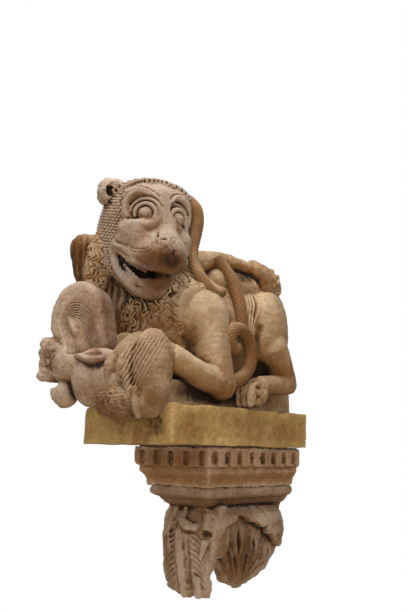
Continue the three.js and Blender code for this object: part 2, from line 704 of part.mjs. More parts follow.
// The lion's head, turned to its left and a little down, with an open mouth.
function lionHead() {
  const { point } = HEAD;
  const far = 2 * SKULL_HALF_HEIGHT;
  const muzzlePlace = point(MUZZLE_FRONT - MUZZLE_LENGTH, FACE_MIDDLE + 8, MUZZLE_LEVEL);
  const muzzle = ball(muzzlePlace, [MUZZLE_LENGTH, MUZZLE_HALF_WIDTH, MUZZLE_HALF_HEIGHT], HEAD, 12, 8);
  const mass = joined([
    ball(point(-30, FACE_MIDDLE, 20), [SKULL_DEPTH, SKULL_HALF_WIDTH, SKULL_HALF_HEIGHT], HEAD, 14, 9),
    ...BOTH.flatMap((side) => [
      ball(point(-10, FACE_MIDDLE + side * 70, 86), [114, 82, 106], HEAD, 12, 8),
      ball(point(-72, FACE_MIDDLE + side * 84, 6), [124, 100, 170], HEAD, 12, 8),
    ]),
    ball(point(20, 3, -75), [137, 148, 110], HEAD, 12, 8),
    muzzle,
    chainOf(point, NOSE_LINE),
    ball(point(58, -72, -26), [72, 64, 60], HEAD),
    ball(point(56, 96, -28), [62, 50, 58], HEAD),
  ]);
  const mouthFoot = [[200, -far], [-200, -far]];
  const mouth = prism(HEAD, [...LIP_LINE, ...mouthFoot], MUZZLE_FRONT - MOUTH_DEPTH, MUZZLE_FRONT + far);
  const palate = ball(point(44, -12, -142), [92, 58, 36], HEAD);
  const eyeParts = BOTH.map((side) => {
    const facing = turnedIn(HEAD, side * EYE_TURN);
    const ledge = EYE_LEDGES.get(side);
    const above = (drop) => {
      const edge = ledge.map(([l, u]) => [l, u - drop]);
      return prism(HEAD, [...edge, [edge[1][0], far], [edge[0][0], far]], 0, far);
    };
    const socket = ball(
      point(111, FACE_MIDDLE + side * 80, EYE_LEVEL + 28),
      [SOCKET_DEPTH, SOCKET_HALF_WIDTH, SOCKET_HALF_HEIGHT],
      facing,
      12,
      8,
    );
    const middle = point(91, FACE_MIDDLE + (side * EYE_SPREAD) / 2, EYE_LEVEL);
    const lidPlace = point(103, FACE_MIDDLE + side * (EYE_SPREAD / 2 + 7), EYE_LEVEL);
    const eye = ball(middle, [EYE_RADIUS, EYE_RADIUS, EYE_RADIUS], facing, 12, 8);
    const lid = ring(facing, lidPlace, EYE_RADIUS + LID_RADIUS / 2, LID_RADIUS);
    return { socket: socket.intersect(above(0)), eye: eye.add(lid).intersect(above(LID_RADIUS)) };
  });
  const ear = ball(point(-48, -158, 138), [36, 38, 52], HEAD, 12, 8)
    .add(ball(point(-36, -130, 164), [32, 30, 28], HEAD, 10, 6))
    .subtract(ball(point(-14, -160, 142), [20, 13, 24], HEAD, 8, 6));
  return joined([
    cut(mass, [mouth, palate, ...eyeParts.map(({ socket }) => socket)]),
    ...eyeParts.map(({ eye }) => eye),
    tubeOf(point, JAW_LINE, JAW_RADIUS, 13),
    ball(point(62, 10, -208), [46, 52, 38], HEAD),
    chainOf(point, JAW_SIDE, 8),
    chainOf(point, [[-10, -60, -168, 26], [20, -30, -200, 34], [30, 20, -196, 38]], 8),
    ball(point(-44, -6, -128), [68, 104, 76], HEAD, 12, 8),
    ear,
    ball(point(-48, 160, 132), [34, 34, 46], HEAD, 10, 7),
  ]);
}

// The mane hangs behind the face in a thick curtain on either side and runs down the neck to the chest.
function lionMane() {
  const { point } = HEAD;
  return joined([
    ball(point(-105, 4, -10), [98, 162, 167], HEAD, 12, 8),
    chainOf(point, [
      [-74, -138, -10, 48],
      [-80, -162, -75, 56],
      [-85, -168, -150, 52],
      [-80, -166, -196, 40],
    ]),
    chainOf(point, [[-70, 130, 40, 52], [-70, 135, -60, 60], [-58, 112, -170, 72]]),
    chain([
      [point(-115, 0, -90), 114],
      [fromFront(-45, 178, 470), 124],
      [fromFront(-20, 230, 400), 144],
      [fromFront(-10, 242, 300), 152],
    ]),
    chainOf(fromFront, [[-80, 150, 330, 110], [-30, 190, 290, 130]]),
    chainOf(fromFront, [[20, 205, 330, 120], [96, 212, 360, 94]]),
  ]);
}

// The ram's horn lies in the frame's forward and up directions: a tall coil that narrows to its foot.
function ramHorn() {
  const middle = 22;
  const foot = { f: middle - 46, u: HORN_HEIGHT - 86 };
  const side = THREE.MathUtils.degToRad(-40);
  const shape = new THREE.Shape();
  shape.absarc(middle, HORN_HEIGHT, HORN_RADIUS, side, 0);
  shape.absellipse(middle, HORN_HEIGHT, HORN_RADIUS, HORN_CROWN, 0, Math.PI);
  shape.lineTo(foot.f - HORN_FOOT_RADIUS, foot.u);
  shape.absarc(foot.f, foot.u, HORN_FOOT_RADIUS, Math.PI, Math.PI * 1.75);
  const geometry = new THREE.ExtrudeGeometry(shape, {
    depth: HORN_THICKNESS,
    bevelEnabled: false,
    curveSegments: 8,
  });
  geometry.translate(0, 0, -HORN_THICKNESS / 2);
  geometry.rotateX(Math.PI / 2);
  const outerFace = HORN_THICKNESS / 2 - 8;
  const dish = ball(RAM.point(34, outerFace + 4, 186), [66, 22, 84], RAM, 12, 8);
  const core = chainOf(RAM.point, [[52, 22, 196, 17], [34, 24, 160, 20], [6, 28, 104, 17]], 8);
  return inFrame(RAM, geometry, 0, -8, 0).subtract(dish).add(core);
}

// The ram lies across the front of the slab with its head beyond the corner, and its haunch rises behind.
function ram() {
  const { point } = RAM;
  const snout = new RoundedBoxGeometry(116, 100, 156, 1, 24);
  return joined([
    ball(point(-34, 2, -18), [72, 62, 96], RAM, 12, 8),
    ball(point(52, 4, 42), [80, 56, 76], RAM),
    inFrame(RAM, snout, 118, -8, 58),
    ball(point(112, 0, 100), [62, 46, 36], RAM, 10, 7),
    ball(point(74, 0, -62), [50, 46, 54], RAM),
    chainOf(point, [[-10, 40, 58, 20], [-60, 56, 64, 25], [-110, 60, 62, 20], [-158, 58, 66, 9]], 8),
    ramHorn(),
    chain([[point(-50, -14, -12), 82], [fromFront(60, -6, 60), 76], [fromFront(150, 30, 60), 62]]),
    ball(fromFront(46, -62, -6), [86, 62, 64], null, 12, 8),
    ball(fromFront(140, -58, -4), [56, 46, 44], null, 10, 7),
    chainOf(fromFront, [
      [-190, 130, HAUNCH_HEIGHT - 260, 84],
      [-240, 46, HAUNCH_HEIGHT - 150, 76],
      [-272, -16, HAUNCH_HEIGHT - 55, 66],
      [-284, -34, HAUNCH_HEIGHT, 61],
    ]),
  ]).subtract(ball(point(108, 40, -34), [26, 60, 16], RAM, 10, 7));
}

function serpent() {
  const besideFace = tubeOf(fromFront, [
    [78, 196, HEAD_HEIGHT + 155],
    [108, 206, HEAD_HEIGHT + 111],
    [114, 211, HEAD_HEIGHT + 66],
    [108, 211, HEAD_HEIGHT + 17],
    [97, 206, HEAD_HEIGHT - 44],
    [104, 202, HEAD_HEIGHT - 96],
    [134, 207, 465],
    [150, 228, 427],
    [158, 262, 405],
    [150, 310, 424],
  ], SERPENT_RADIUS, 15);
  const overBack = tubeOf(fromFront, [
    [80, 360, BEAST_HEIGHT - 8],
    [128, 392, 490],
    [168, 398, 372],
    [178, 398, 270],
  ], SERPENT_RADIUS, 8);
  const coil = SIDE - 18;
  const tail = tubeOf(fromFront, [
    [coil - 12, 262, 88],
    [coil, 330, 92],
    [coil + 4, 392, 138],
    [coil + 4, 412, 205],
    [coil, 392, 265],
    [coil - 4, 345, 288],
    [coil - 6, 304, 262],
    [coil - 6, 300, 222],
    [coil - 4, 330, 196],
  ], SERPENT_RADIUS + 2, 18);
  return joined([besideFace, overBack, tail]);
}

// The second beast lies along the lion's back with one paw on its rump.
function backBeast() {
  const thick = BEAST_LIMB_RADIUS;
  return joined([
    chain([
      [fromFront(20, 270, BEAST_HEIGHT - 36), thick],
      [fromFront(50, 392, BEAST_HEIGHT), thick],
      [fromWall(60, 248, BEAST_HEIGHT + 2), thick - 2],
      [fromWall(70, 176, BEAST_HEIGHT - 14), thick - 8],
    ]),
    chainOf(fromWall, [
      [70, 176, BEAST_HEIGHT - 14, thick - 8],
      [82, 118, BEAST_HEIGHT + 2, thick - 4],
      [102, 62, BEAST_HEIGHT - 44, thick - 6],
    ]),
    chain([[fromFront(-60, 280, 500), 71], [fromWall(-70, 150, 500), 67]]),
  ]);
}

function lionGroup() {
  const carved = joined([
    lionBody(),
    hindLeg(1),
    hindLeg(-1),
    leftForeleg(),
    rightForeleg(),
    lionHead(),
    lionMane(),
    ram(),
    serpent(),
    backBeast(),
  ]);
  const slabSide = SIDE + FACE_GAP;
  const bedSide = LION_BED_HALF_WIDTH + FACE_GAP;
  return cut(carved, [
    block(-slabSide, slabSide, FRONT - FACE_GAP, FAR, -FAR, SLAB_TOP + FACE_GAP),
    block(-bedSide, bedSide, LION_BED_FRONT - FACE_GAP, FAR, -FAR, SEAT),
    block(-FAR, FAR, WALL, FAR, -FAR, FAR),
    ...sockets(LION_JOINT),
  ]);
}

addPiece('lion_group', geometryOf(lionGroup()), CARVED_STONE);
addPiece('plinth_slab', geometryOf(plinthSlab()), SLAB_STONE);
addPiece('impost_block', geometryOf(impostBlock()), BROWN_STONE);
addPiece('leaf_capital', geometryOf(leafCapital()), BROWN_STONE);

// Mortar beds, dowels, their lead and the wall ties

function bed(halfWidth, front, joint) {
  const half = BED / 2 - FACE_GAP;
  const sheet = block(-halfWidth, halfWidth, front, WALL, joint.level - half, joint.level + half);
  return geometryOf(cut(sheet, sockets(joint)));
}

// A bed under a stone of the given half-width that has the moulded blocks' depth.
function blockBed(half, joint) {
  return bed(half - BED_SETBACK, BED_SETBACK - BLOCK_DEPTH - half, joint);
}

addPiece('lion_bed', bed(LION_BED_HALF_WIDTH, LION_BED_FRONT, LION_JOINT), MORTAR);
addPiece('impost_bed', blockBed(BAND_HALF_WIDTH, SLAB_JOINT), MORTAR);
addPiece('capital_bed', blockBed(ROLL_HALF_WIDTH, CAPITAL_JOINT), MORTAR);

for (const [stone, joint] of [['lion', LION_JOINT], ['slab', SLAB_JOINT], ['capital', CAPITAL_JOINT]]) {
  for (const [place, [x, y]] of Object.entries(joint.dowels)) {
    const z0 = joint.level - DOWEL_LENGTH / 2;
    const z1 = joint.level + DOWEL_LENGTH / 2;
    const core = DOWEL_DIAMETER / 2;
    const bore = rod(x, y, z0 - LEAD_WALL, z1 + LEAD_WALL, core + FACE_GAP);
    addPiece(`${stone}_dowel_${place}`, geometryOf(rod(x, y, z0, z1, core)), IRON);
    addPiece(`${stone}_lead_${place}`, geometryOf(rod(x, y, z0, z1, LEAD_RADIUS).subtract(bore)), LEAD);
  }
}

TIE_PLACES.forEach((x, i) => {
  const hand = ['right', 'left'][i];
  const tie = wallTie();
  tie.translate(x, 0, TIE_LEVEL);
  addPiece(`wall_tie_${hand}`, tie, IRON);
  addPiece(`tie_lead_${hand}`, geometryOf(tieLead(x)), LEAD);
});

export default assembly;
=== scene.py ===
# %% [markdown]
# # A console lion, carved in stone
# The real object is masonry: a lion group cut from one block, on a slab, on a moulded impost, on a capital
# of hanging leaves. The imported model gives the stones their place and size. This lesson gives them their
# carving.

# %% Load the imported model
import math

import bpy
import numpy as np
from mathutils import Matrix, Vector


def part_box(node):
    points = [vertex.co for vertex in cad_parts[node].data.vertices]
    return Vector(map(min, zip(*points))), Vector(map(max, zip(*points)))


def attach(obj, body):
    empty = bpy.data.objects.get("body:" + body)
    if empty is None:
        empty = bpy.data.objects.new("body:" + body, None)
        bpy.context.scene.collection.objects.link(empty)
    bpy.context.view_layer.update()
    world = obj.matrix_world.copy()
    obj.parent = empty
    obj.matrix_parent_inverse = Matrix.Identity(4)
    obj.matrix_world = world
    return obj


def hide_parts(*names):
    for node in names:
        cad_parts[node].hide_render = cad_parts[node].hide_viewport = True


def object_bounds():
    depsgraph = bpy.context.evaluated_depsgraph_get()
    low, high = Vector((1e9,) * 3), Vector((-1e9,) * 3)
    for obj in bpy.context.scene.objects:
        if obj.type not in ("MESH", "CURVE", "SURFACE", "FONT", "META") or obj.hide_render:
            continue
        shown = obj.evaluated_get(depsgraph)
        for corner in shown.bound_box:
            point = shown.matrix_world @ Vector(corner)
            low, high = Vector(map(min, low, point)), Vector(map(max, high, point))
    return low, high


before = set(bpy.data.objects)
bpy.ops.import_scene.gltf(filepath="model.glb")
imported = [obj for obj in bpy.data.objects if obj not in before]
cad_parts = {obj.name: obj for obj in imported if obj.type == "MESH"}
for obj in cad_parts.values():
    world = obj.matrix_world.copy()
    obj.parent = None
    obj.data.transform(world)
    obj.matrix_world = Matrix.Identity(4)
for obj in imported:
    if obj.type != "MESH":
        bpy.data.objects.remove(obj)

CAD_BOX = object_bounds()
MM = 0.001  # the carving is worked out in millimetres, and Blender holds metres
print("nodes in the frame:", len(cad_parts))

# %% [markdown]
# ## Places
# A mason measures from the slab: so far back from its front edge, so far out from the wall, so high above
# the bed that the lion sits on. Two short functions do the same, and a row may carry a radius as its fourth
# number.

# %% Places on the lion group
slab_low, slab_high = (np.array(corner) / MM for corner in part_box("plinth_slab"))
impost_low, impost_high = (np.array(corner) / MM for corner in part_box("impost_block"))
capital_low, capital_high = (np.array(corner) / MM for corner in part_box("leaf_capital"))
SIDE = float(slab_high[0])
FRONT = float(slab_low[1])
SLAB_TOP = float(slab_high[2])
SEAT = float(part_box("lion_bed")[1][2]) / MM


def at(x, back, height, *radius):
    """A place measured back from the slab's front edge and up from the lion's seat."""
    return (x, FRONT + back, SEAT + height, *radius)


def by(x, out, height, *radius):
    """A place measured out from the wall and up from the lion's seat."""
    return (x, -out, SEAT + height, *radius)


def mirrored(rows, side, across=0):
    """Rows on the lion's left, moved across, or with a side of -1 their mirror image on its right."""
    return [(side * (x + across), *rest) for x, *rest in rows]


class Turned:
    """A frame with its own forward, left and up directions, for a head that is turned."""

    def __init__(self, origin, turn=0.0, bow=0.0):
        a, b = math.radians(turn), math.radians(bow)
        forward = np.array((math.cos(a) * math.cos(b), math.sin(a) * math.cos(b), math.sin(b)))
        left = np.array((-math.sin(a), math.cos(a), 0.0))
        self.origin = np.array(origin, float)
        self.axes = np.array((forward, left, np.cross(forward, left)))

    def out(self, rows):
        """Turns rows of this frame into rows of the part's frame."""
        rows = np.array(rows, float)
        rows[:, :3] = rows[:, :3] @ self.axes + self.origin
        return rows

    def into(self, rows):
        """Turns rows of the part's frame into rows of this frame."""
        rows = np.array(rows, float)
        rows[:, :3] = (rows[:, :3] - self.origin) @ self.axes.T
        return rows


PART = Turned((0, 0, 0))
HEAD = Turned(at(-12.4, 78.4, 621), turn=-20, bow=-10)
RAM = Turned(at(-165, -62, 100), turn=200)
print("slab", slab_low, slab_high, "seat", SEAT)

# %% [markdown]
# ## Camera
# The picture was taken from below the slab, from the lion's left. The camera comes first, so that every
# later step can be looked at through it.

# %% Camera
CAMERA_PLACE = Vector((1659.66, -2152.81, 50.27)) * MM
CAMERA_FORWARD = Vector((-0.66304, 0.71422, 0.22422))
CAMERA_RIGHT = Vector((0.73553, 0.67726, 0.01776))
CAMERA_LENS = 37.31  # on the 36 mm sensor that Blender gives a camera

camera = bpy.data.objects.new("camera", bpy.data.cameras.new("camera"))
camera_turn = Matrix((CAMERA_RIGHT, CAMERA_RIGHT.cross(CAMERA_FORWARD), -CAMERA_FORWARD)).transposed()
camera.matrix_world = Matrix.Translation(CAMERA_PLACE) @ camera_turn.to_4x4()
camera.data.lens = CAMERA_LENS
bpy.context.scene.collection.objects.link(camera)
bpy.context.scene.camera = camera
print("camera at", tuple(round(v, 3) for v in CAMERA_PLACE))

# %% [markdown]
# ## A block of stone
# A carver starts from a block, so this lesson does too. The block is a grid of points, and each point keeps
# its distance to the carved surface: below zero is stone, above zero is air. Adding a form takes the
# smaller of two distances, and carving takes the larger. A soft version of both gives the worn, rounded
# edges of old carving. Sculpting a mesh by hand would do as well, but it can't be written down, and Boolean
# modifiers leave sharp edges.

# %% The block
OPEN = 1000.0  # a distance that is far from any stone
COARSE = 1.0


def soft_min(a, b, blend):
    """The smaller of two distances, rounded off where they are within the blend of each other."""
    mix = np.clip(0.5 + 0.5 * (b - a) / blend, 0, 1)
    return b + (a - b) * mix - blend * mix * (1 - mix)


class StoneBlock:
    """A grid over a box. It stands in a frame of its own, so a turned head is carved upright."""

    def __init__(self, low, high, cell, place=PART):
        self.cell = cell * COARSE
        self.place = place
        self.axes = [np.arange(a, b + self.cell, self.cell, dtype=np.float32) for a, b in zip(low, high)]
        self.field = np.full([len(axis) for axis in self.axes], OPEN, np.float32)
        self.marks = []

    def stain(self, stains, side=1):
        """Notes patches: iron stains, and painted shade with some grime. A name's first word is its kind."""
        for name, (centre, radii, amount) in stains.items():
            middle = np.array((side * centre[0], centre[1], centre[2]), float)
            self.marks.append((name.split()[0], middle, np.array(radii, float), amount))

    def marked(self, kind, points):
        """How strongly each point is painted with patches of this kind."""
        total = np.zeros(len(points))
        for own, centre, radii, amount in self.marks:
            if own == kind:
                total += amount * np.clip(1 - (((points - centre) / radii) ** 2).sum(axis=1), 0, 1)
        return total

    def window(self, low, high):
        """The part of the grid inside a box."""
        spans = [np.searchsorted(axis, (a, b)) for axis, a, b in zip(self.axes, low, high)]
        return tuple(slice(int(start), int(stop)) for start, stop in spans)

    def points(self, spans=(slice(None),) * 3):
        """The three coordinates of the grid's points, shaped so that they spread over the grid."""
        shapes = ((-1, 1, 1), (1, -1, 1), (1, 1, -1))
        return [axis[s].reshape(shape) for axis, s, shape in zip(self.axes, spans, shapes)]

    def gather(self, shape, margin):
        """The distance to a shape, which is a list of parts, inside the window that it needs."""
        low = np.min([part[1] for part in shape], axis=0) - margin
        high = np.max([part[2] for part in shape], axis=0) + margin
        whole = self.window(low, high)
        near = np.full([s.stop - s.start for s in whole], OPEN, np.float32)
        for distance, part_low, part_high in shape:
            own = self.window(part_low - margin, part_high + margin)
            inner = tuple(slice(o.start - w.start, o.stop - w.start) for o, w in zip(own, whole))
            if near[inner].size:
                near[inner] = np.minimum(near[inner], distance(self.points(own)))
        return whole, near

    def add(self, shape, blend=8.0):
        """Joins a shape to the stone, with the valley between them rounded by the blend."""
        spans, near = self.gather(shape, blend + 3 * self.cell)
        self.field[spans] = soft_min(self.field[spans], near, blend)

    def lay(self, masses, side=1):
        """Adds named balls: the centre, radii and blend of each. A side of -1 mirrors them."""
        for centre, radii, blend in masses.values():
            self.add(ball(*mirrored([centre], side), radii), blend)

    def carve(self, shape, blend=4.0):
        """Takes a shape away from the stone, with the edge rounded by the blend."""
        spans, near = self.gather(shape, blend + 3 * self.cell)
        self.field[spans] = -soft_min(-self.field[spans], near, blend)

    def noise(self, size, seed):
        """Smooth random relief from -1 to 1, in lumps of about the given size."""
        steps = [(axis - axis[0]) / size for axis in self.axes]
        counts = [int(step[-1]) + 2 for step in steps]
        relief = np.random.RandomState(seed).uniform(-1, 1, counts).astype(np.float32)
        for i, step in enumerate(steps):
            base = step.astype(int)
            ease = step - base
            ease = (ease * ease * (3 - 2 * ease)).reshape([-1 if i == j else 1 for j in range(3)])
            near = np.take(relief, base, axis=i)
            relief = near + (np.take(relief, base + 1, axis=i) - near) * ease
        return relief

    def wear(self, *layers):
        """Roughens the surface by layers of (depth, lump size, seed)."""
        for depth, size, seed in layers:
            self.field += depth * self.noise(size, seed)

    def face(self, y, z):
        """How far out the stone comes along the block's first axis."""
        j = min(int(np.searchsorted(self.axes[1], y)), len(self.axes[1]) - 1)
        k = min(int(np.searchsorted(self.axes[2], z)), len(self.axes[2]) - 1)
        stone = np.nonzero(self.field[:, j, k] < 0)[0]
        return float(self.axes[0][stone[-1]]) if len(stone) else float(self.axes[0][0])

    def on_face(self, points, lift=0.0, radius=4.0):
        """A line drawn on the front of the block through (y, z) points, as rows for a chain."""
        return [(self.face(y, z) + lift, y, z, radius) for y, z in smooth_path(points, 6)]


print("coarse factor of the blocks:", COARSE)

# %% [markdown]
# The forms that are added and carved are few: a ball, a brick, a limb between two rows, and lines of limbs.
# Each could be a mesh of its own. Here it is a function that gives the distance to it, with the box that it
# lies in, so that only the points near it have to be worked on.

# %% Forms


def smooth_path(points, per_span=8):
    """Points along a smooth curve through the given ones. Any further columns are carried along."""
    p = np.array(points, float)
    p = np.vstack([2 * p[0] - p[1], p, 2 * p[-1] - p[-2]])
    t = np.linspace(0, 1, per_span, endpoint=False)[:, None]
    spans = [
        0.5 * (2 * b + (c - a) * t + (2 * a - 5 * b + 4 * c - d) * t**2 + (3 * b - 3 * c + d - a) * t**3)
        for a, b, c, d in zip(p, p[1:], p[2:], p[3:])
    ]
    return np.vstack(spans + [p[-2:-1]])


def moved(p, centre, turn=None):
    """Coordinates measured from a centre, along a turned frame's own directions if one is given."""
    q = [p[i] - centre[i] for i in range(3)]
    if turn is None:
        return q
    return [q[0] * turn[i][0] + q[1] * turn[i][1] + q[2] * turn[i][2] for i in range(3)]


def ball(centre, radii, turn=None):
    """An ellipsoid; turn gives its own three directions as rows."""
    centre = np.array(centre[:3], float)
    radii = np.broadcast_to(np.array(radii, float), 3)

    def distance(p):
        q = moved(p, centre, turn)
        near = np.sqrt(sum((a / float(r)) ** 2 for a, r in zip(q, radii)))
        slope = np.sqrt(sum((a / float(r * r)) ** 2 for a, r in zip(q, radii))) + 1e-6
        return near * (near - 1) / slope

    reach = radii if turn is None else np.full(3, radii.max())
    return [(distance, centre - reach, centre + reach)]


def brick(centre, half, corner):
    """A block with rounded corners."""
    centre = np.array(centre[:3], float)
    half = np.array(half, float)

    def distance(p):
        q = [np.abs(a) - float(h - corner) for a, h in zip(moved(p, centre), half)]
        outside = np.sqrt(sum(np.maximum(a, 0) ** 2 for a in q))
        return outside + np.minimum(np.maximum(np.maximum(q[0], q[1]), q[2]), 0) - corner

    return [(distance, centre - half, centre + half)]


def limb(a, b):
    """A straight limb between two rows of (x, y, z, radius)."""
    start, along = np.array(a[:3], float), np.array(b[:3], float) - np.array(a[:3], float)
    square = float(along @ along) + 1e-9

    def distance(p):
        q = [p[i] - start[i] for i in range(3)]
        t = np.clip(sum(q[i] * along[i] for i in range(3)) / square, 0, 1)
        return np.sqrt(sum((q[i] - t * along[i]) ** 2 for i in range(3))) - (a[3] + (b[3] - a[3]) * t)

    reach = max(a[3], b[3])
    end = start + along
    return (distance, np.minimum(start, end) - reach, np.maximum(start, end) + reach)


def chain(rows):
    """Straight limbs from row to row."""
    return [limb(a, b) for a, b in zip(rows, rows[1:])]


def path(rows, per_span=8):
    """Limbs along a smooth curve through the rows."""
    return chain(smooth_path(rows, per_span))


def form(cut, low, high, shape=None):
    """A shape of one's own distance; given another shape, the part of that one which both share."""
    low, high = np.array(low, float), np.array(high, float)
    if shape is None:
        return [(cut, low, high)]
    return [(lambda p, own=own: np.maximum(cut(p), own(p)), low, high) for own, *_ in shape]


print("a path through 3 points has", len(path([(0, 0, 0, 1), (1, 0, 0, 1), (2, 1, 0, 1)])), "limbs")

# %% [markdown]
# Patterns such as the net and the locks cover only a part of a stone, and chips lie in patches. A pattern
# could be cut off sharply, but a carver lets it run out, so a few functions fade it in and out.

# %% Fades


def read_off(rows, value):
    """The second column of the rows, read off where their first column has this value."""
    return np.interp(value, *np.array(rows, float).T)


def rising(value, start, width):
    """From 0 at the start to 1 after the width."""
    return np.clip((value - start) / width, 0, 1)


def falling(value, end, width):
    """From 1 before the width to 0 at the end."""
    return np.clip((end - value) / width, 0, 1)


def patch(*axes):
    """1 in the middle of a round patch and 0 outside it. Each axis is a value, its middle and its radius."""
    inside = 1
    for value, middle, radius in axes:
        inside = inside - ((value - middle) / radius) ** 2
    return np.clip(inside, 0, 1)


print("half-way along a fade:", rising(1, 0, 2), falling(1, 2, 2))

# %% [markdown]
# ## From block to mesh
# The surface is where the distance is zero. In each cell of the grid that the surface crosses, one point is
# put at the mean of the crossings on the cell's edges, and four neighbouring points make a face. This is
# the plain form of the method that modellers call surface nets. Each point also keeps how deep it lies in a
# hollow, so that the stone's finish can paint shade there, together with dirt. A mesh with too many
# triangles for one piece is thinned where it is flat.

# %% Look for hollows
CORNERS = np.array([(i, j, k) for i in (0, 1) for j in (0, 1) for k in (0, 1)])
REACHES = (5.0, 12.0, 34.0)  # mm, how far round a point the looks for hollows go


def blurred(solid, cells):
    """The mean of the grid over a box of so many cells each way."""
    for axis in range(3):
        border = [(cells + 1, cells) if i == axis else (0, 0) for i in range(3)]
        total = np.cumsum(np.pad(solid, border), axis=axis)
        size = total.shape[axis]
        high = np.take(total, range(2 * cells + 1, size), axis=axis)
        solid = (high - np.take(total, range(size - 2 * cells - 1), axis=axis)) / (2 * cells + 1)
    return solid


def between(values, local):
    """Values of a grid at places between its points."""
    base = np.minimum(local.astype(int), np.array(values.shape) - 2)
    part = local - base
    total = np.zeros(len(local))
    for corner in CORNERS:
        share = np.prod(np.where(corner, part, 1 - part), axis=1)
        total += share * values[tuple((base + corner).T)]
    return total


print("hollows are looked for", REACHES, "mm round a point")

# %% Skin a block
EDGES = [(a, b) for a in range(8) for b in range(a) if np.abs(CORNERS[a] - CORNERS[b]).sum() == 1]


def skin(block):
    """Points in the part's frame, four-sided faces, and how hollow the place of each point is."""
    field = block.field
    for axis in range(3):
        for end in (0, -1):
            border = [slice(None)] * 3
            border[axis] = end
            field[tuple(border)] = np.maximum(field[tuple(border)], 0.4 * block.cell)
    stone = field < 0
    size = [n - 1 for n in field.shape]
    parts = [tuple(slice(c, c + n) for c, n in zip(corner, size)) for corner in CORNERS]
    count = sum(stone[part].astype(np.uint8) for part in parts)
    live = (count > 0) & (count < 8)
    cells = np.argwhere(live)
    number = np.full(live.shape, -1, np.int32)
    number[live] = np.arange(len(cells))
    values = np.stack([field[part][live] for part in parts], axis=1)
    place = np.zeros((len(cells), 3))
    crossings = np.zeros(len(cells))
    for a, b in EDGES:
        crossed = (values[:, a] < 0) != (values[:, b] < 0)
        share = np.where(crossed, values[:, a] / np.where(crossed, values[:, a] - values[:, b], 1), 0)
        place += np.where(crossed[:, None], CORNERS[a] + share[:, None] * (CORNERS[b] - CORNERS[a]), 0)
        crossings += crossed
    local = cells + place / crossings[:, None]
    faces = []
    for axis in range(3):
        u, v = (axis + 1) % 3, (axis + 2) % 3
        here = [slice(1, -1)] * 3
        here[axis] = slice(0, -1)
        there = list(here)
        there[axis] = slice(1, None)
        outward = stone[tuple(here)] & ~stone[tuple(there)]
        inward = ~stone[tuple(here)] & stone[tuple(there)]
        for mask, order in ((outward, (0, 1, 2, 3)), (inward, (3, 2, 1, 0))):
            edge = np.argwhere(mask)
            edge[:, u] += 1
            edge[:, v] += 1
            ring = []
            for du, dv in ((-1, -1), (0, -1), (0, 0), (-1, 0)):
                cell = edge.copy()
                cell[:, u] += du
                cell[:, v] += dv
                ring.append(number[cell[:, 0], cell[:, 1], cell[:, 2]])
            faces.append(np.stack([ring[i] for i in order], axis=1))
    solid = np.clip(0.5 - field / (2 * block.cell), 0, 1)
    looks = [max(1, round(reach / block.cell)) for reach in REACHES]
    hollow = sum(between(blurred(solid, reach), local) - 0.5 for reach in looks)
    grid = np.array([axis[0] for axis in block.axes]) + local * block.cell
    marks = {"hollow": hollow, **{kind: block.marked(kind, grid) for kind in ("iron", "soot")}}
    return block.place.out(grid), np.vstack(faces), marks


print("cells have", len(EDGES), "edges")

# %% Make a mesh
MOST_TRIANGLES = 195000  # of one piece, past which its flat places are thinned


def thinned(mesh):
    """The mesh, with fewer triangles where it is flat if it has more than MOST_TRIANGLES."""
    triangles = 2 * len(mesh.polygons)
    if triangles <= MOST_TRIANGLES:
        return mesh
    name = mesh.name
    holder = bpy.data.objects.new("thinning", mesh)
    bpy.context.scene.collection.objects.link(holder)
    holder.modifiers.new("thin", "DECIMATE").ratio = MOST_TRIANGLES / triangles
    thin = bpy.data.meshes.new_from_object(holder.evaluated_get(bpy.context.evaluated_depsgraph_get()))
    bpy.data.objects.remove(holder)
    bpy.data.meshes.remove(mesh)
    thin.name = name
    return thin


def carved_mesh(name, block):
    """The block's surface as a mesh whose points carry the hollows, the stains and the painted shade."""
    points, faces, marks = skin(block)
    mesh = bpy.data.meshes.new(name)
    mesh.vertices.add(len(points))
    mesh.vertices.foreach_set("co", (points * MM).astype(np.float32).ravel())
    mesh.loops.add(faces.size)
    mesh.loops.foreach_set("vertex_index", faces.astype(np.int32).ravel())
    mesh.polygons.add(len(faces))
    mesh.polygons.foreach_set("loop_start", np.arange(0, faces.size, 4, dtype=np.int32))
    mesh.update(calc_edges=True)
    for kind, values in marks.items():
        mesh.attributes.new(kind, "FLOAT", "POINT").data.foreach_set("value", values.astype(np.float32))
    mesh.shade_smooth()
    return thinned(mesh)


print("a piece has at most", MOST_TRIANGLES, "triangles")

# %% [markdown]
# ## Node trees
# The finishes and the serpent are node trees. Made by hand, each node takes several lines, so one helper
# makes a node, sets its plain inputs and links the rest.

# %% Node helpers


def node(tree, kind, inputs=None, **settings):
    """A new node. An input that is a socket is linked, and any other is set."""
    made = tree.nodes.new(kind)
    for key, value in settings.items():
        setattr(made, key, value)
    for key, value in (inputs or {}).items():
        if isinstance(value, bpy.types.NodeSocket):
            tree.links.new(value, made.inputs[key])
        else:
            made.inputs[key].default_value = value
    return made


def maths(tree, operation, a, b=0.0, clamp=False):
    """The result of a Math node."""
    return node(tree, "ShaderNodeMath", {0: a, 1: b}, operation=operation, use_clamp=clamp).outputs[0]


def new_group(name, kind, inputs, outputs):
    """A node group with named sockets; returns the tree, its input node and its output node."""
    tree = bpy.data.node_groups.new(name, kind)
    for label, socket, value in inputs:
        made = tree.interface.new_socket(label, in_out="INPUT", socket_type="NodeSocket" + socket)
        if value is not None:
            made.default_value = value
    for label, socket in outputs:
        tree.interface.new_socket(label, in_out="OUTPUT", socket_type="NodeSocket" + socket)
    return tree, tree.nodes.new("NodeGroupInput").outputs, tree.nodes.new("NodeGroupOutput")


